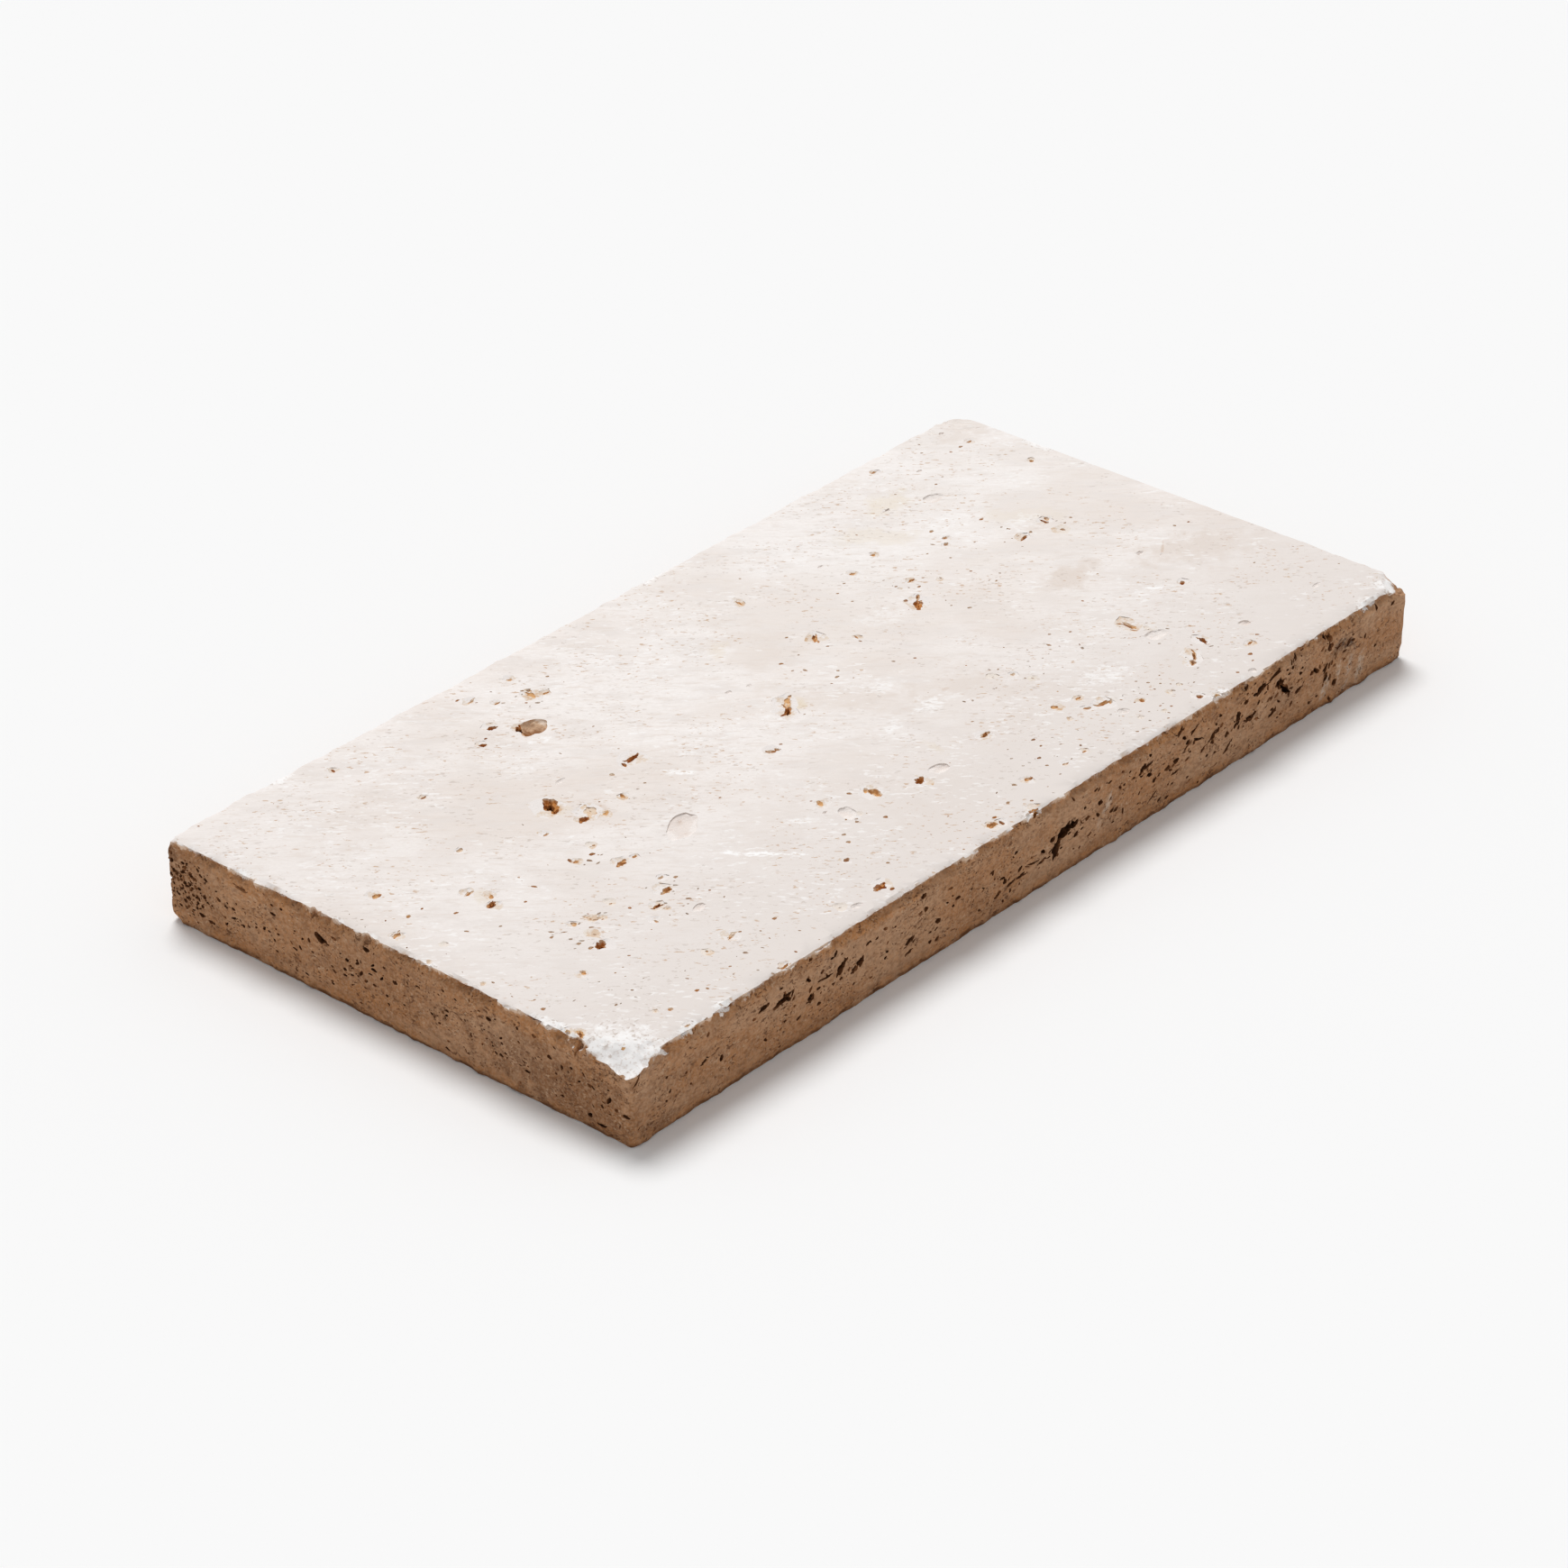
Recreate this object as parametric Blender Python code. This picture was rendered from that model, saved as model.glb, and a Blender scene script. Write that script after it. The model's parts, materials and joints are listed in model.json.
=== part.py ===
"""A sawn and tumbled travertine paver: one solid stone that lies on its flat underside.

Metres, +Z up. The origin is the middle of the underside, +X runs along the long side and
+Y across it. The two faces are flat, the arrises are worn and chipped by tumbling, and the
stone's own pits open on every face.
"""

import math
import random
from collections import namedtuple

import bmesh
import bpy
from mathutils import Matrix, Vector, noise

# Driving dimensions
MM = 0.001
SLAB_LENGTH = 400 * MM
SLAB_WIDTH = 200 * MM
SLAB_THICKNESS = 30.5 * MM
END_SKEW = 3 * MM  # the back long side is this much shorter, so the far end isn't square

# Corner radii in plan, by the sign of X and of Y
CORNER_RADIUS = {
    (-1, -1): 3.5 * MM,
    (-1, 1): 3 * MM,
    (1, 1): 11 * MM,
    (1, -1): 4 * MM,
}
CORNER_SEGMENTS = 3

# The worn arris between a face and a wall, and how rough tumbling left the walls
ARRIS_WIDTH = 1.3 * MM
ARRIS_WEAR = 1.4 * MM
ARRIS_WAVE = 0.7 * MM
WALL_WEAR = 0.7 * MM
WEAR_PATCH = 11 * MM
COLUMN_STEP = 5.5 * MM
COLUMN_MARGIN = 13 * MM  # no column of facets falls in the rounded corners
WALL_ROWS = (0.25, 0.5, 0.75)  # shares of the thickness
LEVEL = 0.9  # a facet whose normal is at least this upright belongs to a flat face
TINY = 0.01 * MM

PIT_ROUGHNESS = 0.35
CHIP_ROUGHNESS = 0.3
LARGE_PIT = 5.5 * MM  # a pit longer than this gets more facets
SEED = 7

CREAM = (0.82, 0.75, 0.68, 1)
TAN = (0.45, 0.29, 0.19, 1)
BROWN = (0.16, 0.07, 0.03, 1)

# A pit lies at (along, across) on its face, and turn is in degrees from the along axis.
# A chip lies on an arris, at along, and reaches so far into the face and down the wall.
Pit = namedtuple("Pit", "along across length width depth turn")
Chip = namedtuple("Chip", "along length inward down")
# A worn corner slopes away from its face, from so far along each arris to this drop at the
# corner itself. The sides are signs, and side_z is 1 at the top and -1 at the underside.
Slope = namedtuple("Slope", "side_x side_y side_z reach_x reach_y drop")
Face = namedtuple("Face", "middle along across outward")

HALF_LENGTH = SLAB_LENGTH / 2
HALF_WIDTH = SLAB_WIDTH / 2

TOP = Face(Vector((0, 0, SLAB_THICKNESS)), Vector((1, 0, 0)), Vector((0, 1, 0)), Vector((0, 0, 1)))
UNDERSIDE = Face(Vector((0, 0, 0)), Vector((1, 0, 0)), Vector((0, 1, 0)), Vector((0, 0, -1)))
FRONT_WALL = Face(Vector((0, -HALF_WIDTH, 0)), Vector((1, 0, 0)), Vector((0, 0, 1)), Vector((0, -1, 0)))
BACK_WALL = Face(Vector((0, HALF_WIDTH, 0)), Vector((1, 0, 0)), Vector((0, 0, 1)), Vector((0, 1, 0)))
NEAR_END = Face(Vector((-HALF_LENGTH, 0, 0)), Vector((0, 1, 0)), Vector((0, 0, 1)), Vector((-1, 0, 0)))
FAR_END = Face(Vector((HALF_LENGTH, 0, 0)), Vector((0, 1, 0)), Vector((0, 0, 1)), Vector((1, 0, 0)))

# The larger pits of the top, in millimetres
TOP_PITS = (
    Pit(-72.5, 59.5, 11, 8, 4, 60),
    Pit(-105, 22, 8.5, 5, 4.5, 50),
    Pit(-101, 7, 9, 5, 1.5, 20),
    Pit(-81.5, 69.5, 4, 3, 2.5, 0),
    Pit(-91.5, 64, 3.5, 3, 2, 0),
    Pit(-66, 21.5, 8, 2.6, 2.5, 5),
    Pit(-8.5, 3.5, 9, 3.2, 3, 35),
    Pit(-161, -6, 4, 2.6, 3, 20),
    Pit(-117, -20, 5, 3.5, 2.5, 15),
    Pit(-87, -20, 13, 5, 1.2, 18),
    Pit(-156, -47, 5, 3.5, 3.5, 35),
    Pit(-128, -45.5, 4.2, 2.2, 2.5, 5),
    Pit(-118.5, -41.5, 5, 3, 2, 25),
    Pit(-31, -52, 6, 4, 2.2, 90),
    Pit(-15.5, -58, 4.5, 3.6, 3, 0),
    Pit(-32.5, -10, 4.2, 2.6, 2, -35),
    Pit(-74, -90.5, 5, 4, 2.2, -10),
    Pit(-21, -93.5, 6, 3.2, 2, -20),
    Pit(34, 28.5, 6, 2.2, 2, 50),
    Pit(75.5, 17.5, 8, 4.2, 3, 42),
    Pit(139.5, 62.5, 7, 6, 1.2, 0),
    Pit(152.5, 23, 4.5, 2.4, 2, 60),
    Pit(137.5, 20, 4.2, 2, 2, 15),
    Pit(147.5, -41.7, 4.2, 2.2, 2, 35),
    Pit(110.7, -46.5, 7.5, 2.6, 2, 85),
    Pit(119, -71.5, 5, 2.2, 2, 70),
    Pit(107.5, -77, 10, 2.4, 2.2, 42),
    Pit(62, -72, 7, 3, 2.2, -10),
    Pit(63, -81, 4.5, 4, 1.5, 0),
    Pit(87.5, -93.5, 3.5, 3, 2.2, 0),
    Pit(21, -55.8, 4.2, 2.6, 1.6, 20),
)

# Pits of the front long wall, in millimetres; across is the height
FRONT_WALL_PITS = (
    Pit(7, 14.5, 12, 7, 5.5, 38),
    Pit(-102.5, 18, 6, 3, 3.5, 10),
    Pit(-111, 18, 6, 2, 2.5, 10),
    Pit(-95, 15, 7, 3.5, 3.5, 15),
    Pit(-139.5, 21.5, 5, 2.6, 2.5, 15),
    Pit(-130, 20, 7, 2.6, 2.5, 10),
    Pit(-117.5, 14, 4, 3, 2.5, 0),
    Pit(-70, 12, 5, 2.4, 2.5, 30),
    Pit(-56, 13, 3.5, 2.6, 2.5, 0),
    Pit(-63, 25.5, 3.5, 2.4, 2.5, 0),
    Pit(-26, 8, 4, 2, 2, 10),
    Pit(-14, 10, 5, 2, 2, 10),
    Pit(27.5, 18.5, 3.5, 2.8, 2.5, 0),
    Pit(53, 21.5, 5, 1.8, 2, 8),
    Pit(69, 16.3, 4, 3, 3, 20),
    Pit(70, 26.5, 4.5, 2, 2, 30),
    Pit(102.5, 18, 5, 3, 3, 80),
    Pit(111, 14.5, 7, 2.8, 3, -10),
    Pit(115, 23.5, 6, 2.8, 3.5, 15),
    Pit(128, 19, 9, 3.2, 4, -48),
    Pit(135, 27, 4.5, 2.2, 2.5, 15),
    Pit(137, 13.8, 4.2, 2, 2, 15),
    Pit(158, 7.5, 3.6, 3.2, 3, 0),
)

# Pits of the near short end, in millimetres; across is the height
NEAR_END_PITS = (
    Pit(66, 25, 7, 1.8, 2.5, 0),
    Pit(31, 21, 5.5, 3, 3.5, -25),
    Pit(51.5, 21.5, 4, 2, 2.5, -10),
    Pit(11, 25, 3.5, 2, 2.5, 0),
    Pit(14, 16, 3, 2, 2.5, 60),
    Pit(91, 17, 5, 3, 2.5, 20),
    Pit(86, 12, 5, 2.6, 2.5, -30),
    Pit(94, 10, 4, 3, 2.5, 0),
    Pit(83, 7, 3.5, 2, 2, 0),
    Pit(-41, 21.8, 3.5, 2, 2.2, 0),
    Pit(-57, 9.7, 3.5, 2, 2, 0),
    Pit(-90.5, 14, 4, 2, 2.5, -60),
    Pit(-85, 4.2, 6, 2, 2.2, -8),
)

# Chips knocked out of the arrises around the top, in millimetres
FRONT_CHIPS = (
    Chip(-172, 9, 2.2, 2.6),
    Chip(-155, 8, 2.4, 2.6),
    Chip(-127, 12, 2.4, 2.2),
    Chip(-60, 14, 1.8, 2),
    Chip(-7, 9, 3.4, 2.4),
    Chip(45, 12, 1.8, 2),
    Chip(93, 11, 3, 2.6),
    Chip(177, 13, 3.4, 3),
)
NEAR_CHIPS = (
    Chip(-78, 9, 3.6, 5),
    Chip(-15, 13, 2.2, 2.4),
    Chip(11, 12, 3.4, 4.4),
    Chip(24, 10, 2.6, 2.6),
    Chip(34, 7, 3, 3.6),
    Chip(66, 9, 2, 2.6),
)
BACK_CHIPS = (
    Chip(-150, 12, 2.4, 2.6),
    Chip(-78, 9, 3, 2.4),
    Chip(16, 14, 2.6, 3),
    Chip(96, 10, 2.2, 3),
)
FAR_CHIPS = (
    Chip(-30, 12, 2.4, 3),
    Chip(52, 10, 2.6, 2.4),
)

# Chips of the lower arrises, in millimetres
LOW_FRONT_CHIPS = (
    Chip(-164, 10, 2, 2),
    Chip(-53, 9, 2, 2.2),
    Chip(92, 12, 2.2, 2.4),
    Chip(148, 9, 2, 2.2),
)
LOW_NEAR_CHIPS = (
    Chip(-41, 9, 2, 2.4),
    Chip(38, 12, 2, 2.2),
)

# Corners that tumbling has worn down, in millimetres
WORN_CORNERS = (
    Slope(-1, -1, 1, 8.5, 15, 6),
    Slope(-1, 1, 1, 6, 5, 3),
    Slope(1, -1, 1, 12, 15, 6.5),
    Slope(1, 1, 1, 22, 13, 1.6),
    Slope(-1, 1, -1, 8, 8, 3.5),
    Slope(1, -1, -1, 7, 8, 2.5),
)
# The block that wears a corner down, next to the reach and the drop of its slope
SLOPE_ROUGHNESS = 0.5 * MM
SLOPE_PATCH = 4 * MM
SLOPE_CUTS = 7
BLOCK_SIDE = 2.4
BLOCK_THICKNESS = 3

# How many pits each hidden face has, and their sizes in millimetres
HIDDEN_BACK = 11
HIDDEN_FAR = 6
HIDDEN_UNDERSIDE = 10
HIDDEN_LENGTH = (3.5, 7)
HIDDEN_WIDTH = (0.4, 0.8)  # shares of the length
HIDDEN_DEPTH = (1.5, 3.5)
HIDDEN_TURN = (-40, 60)
HIDDEN_REACH = 0.44  # share of a face's length and width, from its middle
HIDDEN_SPACING = 14
WALL_FOOT = 5  # no hidden pit lies lower on a wall than this, in millimetres
WALL_HEAD = 7  # nor nearer to the top
REST_SPOT = 30  # the underside keeps its flat stone this near to the origin, in millimetres


def clear_scene():
    for obj in list(bpy.data.objects):
        bpy.data.objects.remove(obj, do_unlink=True)


def make_collection(name):
    collection = bpy.data.collections.new(name)
    bpy.context.scene.collection.children.link(collection)
    return collection


def make_material(name, colour, roughness):
    material = bpy.data.materials.new(name)
    material.use_nodes = True
    material.diffuse_color = colour
    shader = material.node_tree.nodes["Principled BSDF"]
    shader.inputs["Base Color"].default_value = colour
    shader.inputs["Roughness"].default_value = roughness
    shader.inputs["Metallic"].default_value = 0
    return material


def sawn_block():
    """The block as it leaves the saw, with its upright corners rounded."""
    bm = bmesh.new()
    bmesh.ops.create_cube(bm, size=1.0)
    bmesh.ops.scale(bm, vec=(SLAB_LENGTH, SLAB_WIDTH, SLAB_THICKNESS), verts=bm.verts)
    bmesh.ops.translate(bm, vec=(0, 0, SLAB_THICKNESS / 2), verts=bm.verts)
    for (side_x, side_y), radius in CORNER_RADIUS.items():
        corner = Vector((side_x * HALF_LENGTH, side_y * HALF_WIDTH))
        upright = [e for e in bm.edges if all((v.co.xy - corner).length < MM for v in e.verts)]
        bmesh.ops.bevel(
            bm,
            geom=upright,
            offset=radius,
            offset_type="OFFSET",
            segments=CORNER_SEGMENTS,
            profile=0.5,
            affect="EDGES",
        )
    return bm


def wear_arrises(bm):
    """A narrow worn band between each flat face and the walls."""
    rims = [e for e in bm.edges if abs(e.verts[0].co.z - e.verts[1].co.z) < TINY]
    bmesh.ops.bevel(
        bm,
        geom=rims,
        offset=ARRIS_WIDTH,
        offset_type="OFFSET",
        segments=1,
        profile=0.5,
        affect="EDGES",
    )


def wall_geometry(bm):
    faces = [f for f in bm.faces if abs(f.normal.z) < LEVEL]
    edges = list({e for f in faces for e in f.edges})
    verts = list({v for f in faces for v in f.verts})
    return faces + edges + verts


def cut_walls(bm, point, normal):
    bmesh.ops.bisect_plane(bm, geom=wall_geometry(bm), plane_co=point, plane_no=normal, dist=1e-7)


def stations(half):
    reach = half - COLUMN_MARGIN
    count = round(2 * reach / COLUMN_STEP)
    return [-reach + 2 * reach * i / count for i in range(count + 1)]


def facet_walls(bm):
    """Rows and columns of facets round the walls, for the wear to move."""
    for share in WALL_ROWS:
        cut_walls(bm, (0, 0, SLAB_THICKNESS * share), (0, 0, 1))
    for x in stations(HALF_LENGTH):
        cut_walls(bm, (x, 0, 0), (1, 0, 0))
    for y in stations(HALF_WIDTH):
        cut_walls(bm, (0, y, 0), (0, 1, 0))


def wear_at(point, patch, shift):
    """How worn the stone is here, from 0 to 1, in patches of about this size."""
    place = point / patch + Vector((shift, 0, 0))
    value = noise.noise(place) + 0.5 * noise.noise(place * 2.3)
    return min(1, max(0, 0.5 + 0.9 * value))


def tumble(bm):
    """Tumbling wears the arrises in and leaves the walls uneven. Both flat faces stay flat."""
    bm.normal_update()
    moves = []
    for vert in bm.verts:
        outward = Vector((vert.normal.x, vert.normal.y, 0))
        if outward.length < 0.01:
            continue
        outward.normalize()
        near_face = min(vert.co.z, SLAB_THICKNESS - vert.co.z)
        if near_face < TINY:
            moves.append((vert, -outward * ARRIS_WEAR * wear_at(vert.co, WEAR_PATCH, 3)))
        elif near_face < ARRIS_WIDTH * 1.1:
            inward = -outward * 0.6 * WALL_WEAR * wear_at(vert.co, WEAR_PATCH, 9)
            towards_middle = Vector((0, 0, 1 if vert.co.z < SLAB_THICKNESS / 2 else -1))
            moves.append((vert, inward + towards_middle * ARRIS_WAVE * wear_at(vert.co, WEAR_PATCH, 5)))
        else:
            worn = max(0, 2 * wear_at(vert.co, WEAR_PATCH, 7) - 1)
            moves.append((vert, -outward * WALL_WEAR * worn))
    for vert, move in moves:
        vert.co += move
    for vert in bm.verts:
        share = (vert.co.x + HALF_LENGTH) / SLAB_LENGTH * (vert.co.y + HALF_WIDTH) / SLAB_WIDTH
        vert.co.x -= END_SKEW * share


def rough_ball(facets, roughness, shift):
    bm = bmesh.new()
    bmesh.ops.create_icosphere(bm, subdivisions=facets, radius=1)
    for vert in bm.verts:
        vert.co *= 1 + roughness * noise.noise(vert.co * 1.8 + Vector((shift, shift, 0)))
    return bm


def add_cutter(collection, name, bm, material):
    bmesh.ops.recalc_face_normals(bm, faces=bm.faces)
    mesh = bpy.data.meshes.new(name)
    bm.to_mesh(mesh)
    bm.free()
    mesh.materials.append(material)
    cutter = bpy.data.objects.new(name, mesh)
    cutter.hide_render = True
    cutter.display_type = "WIRE"
    collection.objects.link(cutter)
    return cutter


def cut_pits(collection, face, name, pits, material):
    """A rough hollow for each pit, half in the stone."""
    for i, pit in enumerate(pits):
        facets = 2 if pit.length * MM > LARGE_PIT else 1
        bm = rough_ball(facets, PIT_ROUGHNESS, 2.7 * i + len(name))
        bmesh.ops.scale(
            bm,
            vec=(pit.length * MM / 2, pit.width * MM / 2, pit.depth * MM),
            verts=bm.verts,
        )
        axes = Matrix((face.along, face.across, face.outward)).transposed().to_4x4()
        turn = Matrix.Rotation(math.radians(pit.turn), 4, "Z")
        place = face.middle + face.along * pit.along * MM + face.across * pit.across * MM
        bmesh.ops.transform(bm, matrix=Matrix.Translation(place) @ axes @ turn, verts=bm.verts)
        add_cutter(collection, f"{name}_pit_{i}", bm, material)


def knock_chips(collection, wall, name, chips, material, height=SLAB_THICKNESS):
    """A rough lens for each chip, centred on this wall's arris at this height."""
    for i, chip in enumerate(chips):
        bm = rough_ball(2, CHIP_ROUGHNESS, 4.1 * i + len(name))
        bmesh.ops.scale(
            bm,
            vec=(chip.length * MM / 2, chip.inward * MM, chip.down * MM),
            verts=bm.verts,
        )
        axes = Matrix((wall.along, wall.outward, Vector((0, 0, 1)))).transposed().to_4x4()
        place = wall.middle + wall.along * chip.along * MM + Vector((0, 0, height))
        bmesh.ops.transform(bm, matrix=Matrix.Translation(place) @ axes, verts=bm.verts)
        add_cutter(collection, f"{name}_chip_{i}", bm, material)


def slope_corners(collection, slopes, material):
    """A rough block for each worn corner, with one side along the slope."""
    for i, slope in enumerate(slopes):
        height = SLAB_THICKNESS if slope.side_z > 0 else 0
        corner = Vector((slope.side_x * HALF_LENGTH, slope.side_y * HALF_WIDTH, height))
        on_x = corner - Vector((slope.side_x * slope.reach_x * MM, 0, 0))
        on_y = corner - Vector((0, slope.side_y * slope.reach_y * MM, 0))
        worn = corner - Vector((0, 0, slope.side_z * slope.drop * MM))
        away = (on_x - worn).cross(on_y - worn).normalized()
        if away.z * slope.side_z < 0:
            away.negate()
        side = BLOCK_SIDE * max(slope.reach_x, slope.reach_y) * MM
        thick = BLOCK_THICKNESS * slope.drop * MM
        bm = bmesh.new()
        bmesh.ops.create_cube(bm, size=1.0)
        bmesh.ops.subdivide_edges(bm, edges=bm.edges, cuts=SLOPE_CUTS, use_grid_fill=True)
        bmesh.ops.scale(bm, vec=(side, side, thick), verts=bm.verts)
        bmesh.ops.translate(bm, vec=(0, 0, thick / 2), verts=bm.verts)
        for vert in bm.verts:
            bump = noise.noise(vert.co / SLOPE_PATCH + Vector((5 * i, 0, 0)))
            vert.co.z += SLOPE_ROUGHNESS * bump
        turn = away.to_track_quat("Z", "Y").to_matrix().to_4x4()
        bmesh.ops.transform(bm, matrix=Matrix.Translation(worn) @ turn, verts=bm.verts)
        add_cutter(collection, f"worn_corner_{i}", bm, material)


def hidden_pits(rng, count, reach_along, low, high, clear=0):
    """Pits for the back, the far end or the underside. None lies this near to the origin."""
    pits = []
    while len(pits) < count:
        along = rng.uniform(-reach_along, reach_along)
        across = rng.uniform(low, high)
        length = rng.uniform(*HIDDEN_LENGTH)
        if math.hypot(along, across) < clear:
            continue
        if any(math.hypot(along - p.along, across - p.across) < HIDDEN_SPACING for p in pits):
            continue
        width = length * rng.uniform(*HIDDEN_WIDTH)
        depth = rng.uniform(*HIDDEN_DEPTH)
        pits.append(Pit(along, across, length, width, depth, rng.uniform(*HIDDEN_TURN)))
    return tuple(pits)


def build_slab(collection, cutters, faces, walls):
    bm = sawn_block()
    wear_arrises(bm)
    facet_walls(bm)
    tumble(bm)
    bmesh.ops.recalc_face_normals(bm, faces=bm.faces)
    for face in bm.faces:
        face.material_index = 0 if abs(face.normal.z) > LEVEL else 1
    mesh = bpy.data.meshes.new("travertine_slab")
    bm.to_mesh(mesh)
    bm.free()
    mesh.materials.append(faces)
    mesh.materials.append(walls)
    slab = bpy.data.objects.new("travertine_slab", mesh)
    collection.objects.link(slab)
    mesh.shade_smooth()
    mesh.set_sharp_from_angle(angle=math.radians(30))
    carve = slab.modifiers.new("pits_and_chips", "BOOLEAN")
    carve.operation = "DIFFERENCE"
    carve.operand_type = "COLLECTION"
    carve.collection = cutters
    carve.solver = "EXACT"
    carve.material_mode = "TRANSFER"
    return slab


def main():
    clear_scene()
    collection = make_collection("travertine_slab")
    cutters = make_collection("cutters")
    faces = make_material("honed_face", CREAM, 0.6)
    walls = make_material("weathered_wall", TAN, 0.85)
    lining = make_material("pit_lining", BROWN, 0.9)

    rng = random.Random(SEED)
    reach_x = HIDDEN_REACH * SLAB_LENGTH / MM
    reach_y = HIDDEN_REACH * SLAB_WIDTH / MM
    head = SLAB_THICKNESS / MM - WALL_HEAD
    back_pits = hidden_pits(rng, HIDDEN_BACK, reach_x, WALL_FOOT, head)
    far_pits = hidden_pits(rng, HIDDEN_FAR, reach_y, WALL_FOOT, head)
    underside_pits = hidden_pits(rng, HIDDEN_UNDERSIDE, reach_x, -reach_y, reach_y, REST_SPOT)

    cut_pits(cutters, TOP, "top", TOP_PITS, lining)
    cut_pits(cutters, FRONT_WALL, "front_wall", FRONT_WALL_PITS, lining)
    cut_pits(cutters, NEAR_END, "near_end", NEAR_END_PITS, lining)
    cut_pits(cutters, BACK_WALL, "back_wall", back_pits, lining)
    cut_pits(cutters, FAR_END, "far_end", far_pits, lining)
    cut_pits(cutters, UNDERSIDE, "underside", underside_pits, lining)

    knock_chips(cutters, FRONT_WALL, "front_wall", FRONT_CHIPS, walls)
    knock_chips(cutters, NEAR_END, "near_end", NEAR_CHIPS, walls)
    knock_chips(cutters, BACK_WALL, "back_wall", BACK_CHIPS, walls)
    knock_chips(cutters, FAR_END, "far_end", FAR_CHIPS, walls)
    knock_chips(cutters, FRONT_WALL, "low_front", LOW_FRONT_CHIPS, walls, height=0)
    knock_chips(cutters, NEAR_END, "low_near", LOW_NEAR_CHIPS, walls, height=0)
    slope_corners(cutters, WORN_CORNERS, walls)

    build_slab(collection, cutters, faces, walls)


main()
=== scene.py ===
import json
import math
import random

import bmesh
import bpy
from mathutils import Matrix, Vector

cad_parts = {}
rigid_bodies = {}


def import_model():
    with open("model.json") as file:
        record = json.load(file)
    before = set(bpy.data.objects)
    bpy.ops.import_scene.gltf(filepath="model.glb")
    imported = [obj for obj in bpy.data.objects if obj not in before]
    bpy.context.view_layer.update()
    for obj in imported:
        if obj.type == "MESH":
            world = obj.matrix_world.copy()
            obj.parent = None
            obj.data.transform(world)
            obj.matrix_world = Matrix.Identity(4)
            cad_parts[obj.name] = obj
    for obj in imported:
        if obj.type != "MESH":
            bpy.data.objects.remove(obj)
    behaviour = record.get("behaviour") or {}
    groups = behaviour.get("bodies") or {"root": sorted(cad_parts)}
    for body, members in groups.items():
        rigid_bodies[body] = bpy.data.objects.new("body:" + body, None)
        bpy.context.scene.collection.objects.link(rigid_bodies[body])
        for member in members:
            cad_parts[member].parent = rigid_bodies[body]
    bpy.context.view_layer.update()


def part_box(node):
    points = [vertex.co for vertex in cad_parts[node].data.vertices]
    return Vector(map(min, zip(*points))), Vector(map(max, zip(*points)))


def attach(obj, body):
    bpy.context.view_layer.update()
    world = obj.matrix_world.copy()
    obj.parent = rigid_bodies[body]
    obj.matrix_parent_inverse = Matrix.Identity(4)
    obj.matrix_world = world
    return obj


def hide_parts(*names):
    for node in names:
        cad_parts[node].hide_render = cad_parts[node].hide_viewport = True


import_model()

mm = 0.001
low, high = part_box("travertine_slab")
middle = (low + high) / 2
halfLength = (high.x - low.x) / 2
halfWidth = (high.y - low.y) / 2
thick = high.z
sides = [str(round(side / mm, 1)) for side in (2 * halfLength, 2 * halfWidth, thick)]
print("stone is", " x ".join(sides), "mm")

# The block as it leaves the saw. Corners are named by the sign of X and of Y, sizes are millimetres
sawnBlock = {
    "cornerRadius": {(-1, -1): 2.5, (-1, 1): 1.2, (1, 1): 11, (1, -1): 2},
    "cornerStep": 1.3,      # length of one facet round a corner
    "farSkew": 3,           # the far end is this much out of square
    "cutsAlong": (92, 2),   # columns of facets on the long walls, cut twice
    "cutsAcross": (46, 2),
    "rows": 18,             # cuts over the height of the walls
    "topArris": 1.0,
    "footArris": 0.8,
    "arrisSteps": 2,
    "ringReach": 2.8,       # how far onto both faces the fine facets go
    "faceGrid": 8,          # length of a facet on the rest of the two faces
    "flatArea": 100,        # a face over this area in square mm is one of the two flat ones
    "crumbArea": 30,        # after the cuts, facets over this area lie only on the two flat faces
}

# What the tumbling wore off. The first six are patch size, depth and contrast of the noise
tumbling = {
    "wallWave": (14, 0.6, 1.6),
    "wallGrain": (3.2, 0.3, 1.4),
    "topWave": (8, 2.8, 3.2),
    "topGrain": (2.6, 1.3, 2.4),
    "footWave": (7, 1.1, 2.8),
    "footGrain": (2.2, 0.5, 2.0),
    "wallAtArris": 0.4,     # share of the wear of the walls at their arrises
    "behind": 0.4,          # share of the upper wear at the two arrises behind
    "behindFrom": (0.95, 0.9),   # where they start along X and Y, as shares of the half sizes
    "faceNormal": 0.97,     # a vertex lies on a face from this height of its normal
    "ringDepth": 0.4,       # how much of the arris wear the first ring on a face takes
    "topReach": 3.2,        # how far down a wall the wear of the upper arris reaches
    "footReach": 4.5,       # how far up the wear of the lower one reaches
}

# Worn corners: signs of X, Y and Z, reach along each arris, drop at the corner
wornCorners = [
    (-1, -1, 1, 15, 27, 6.5),
    (-1, 1, 1, 6, 5, 3),
    (1, -1, 1, 12, 15, 6.5),
    (1, 1, 1, 22, 13, 1.6),
    (-1, 1, -1, 8, 8, 3.5),
    (1, -1, -1, 7, 8, 2.5),
]

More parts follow.
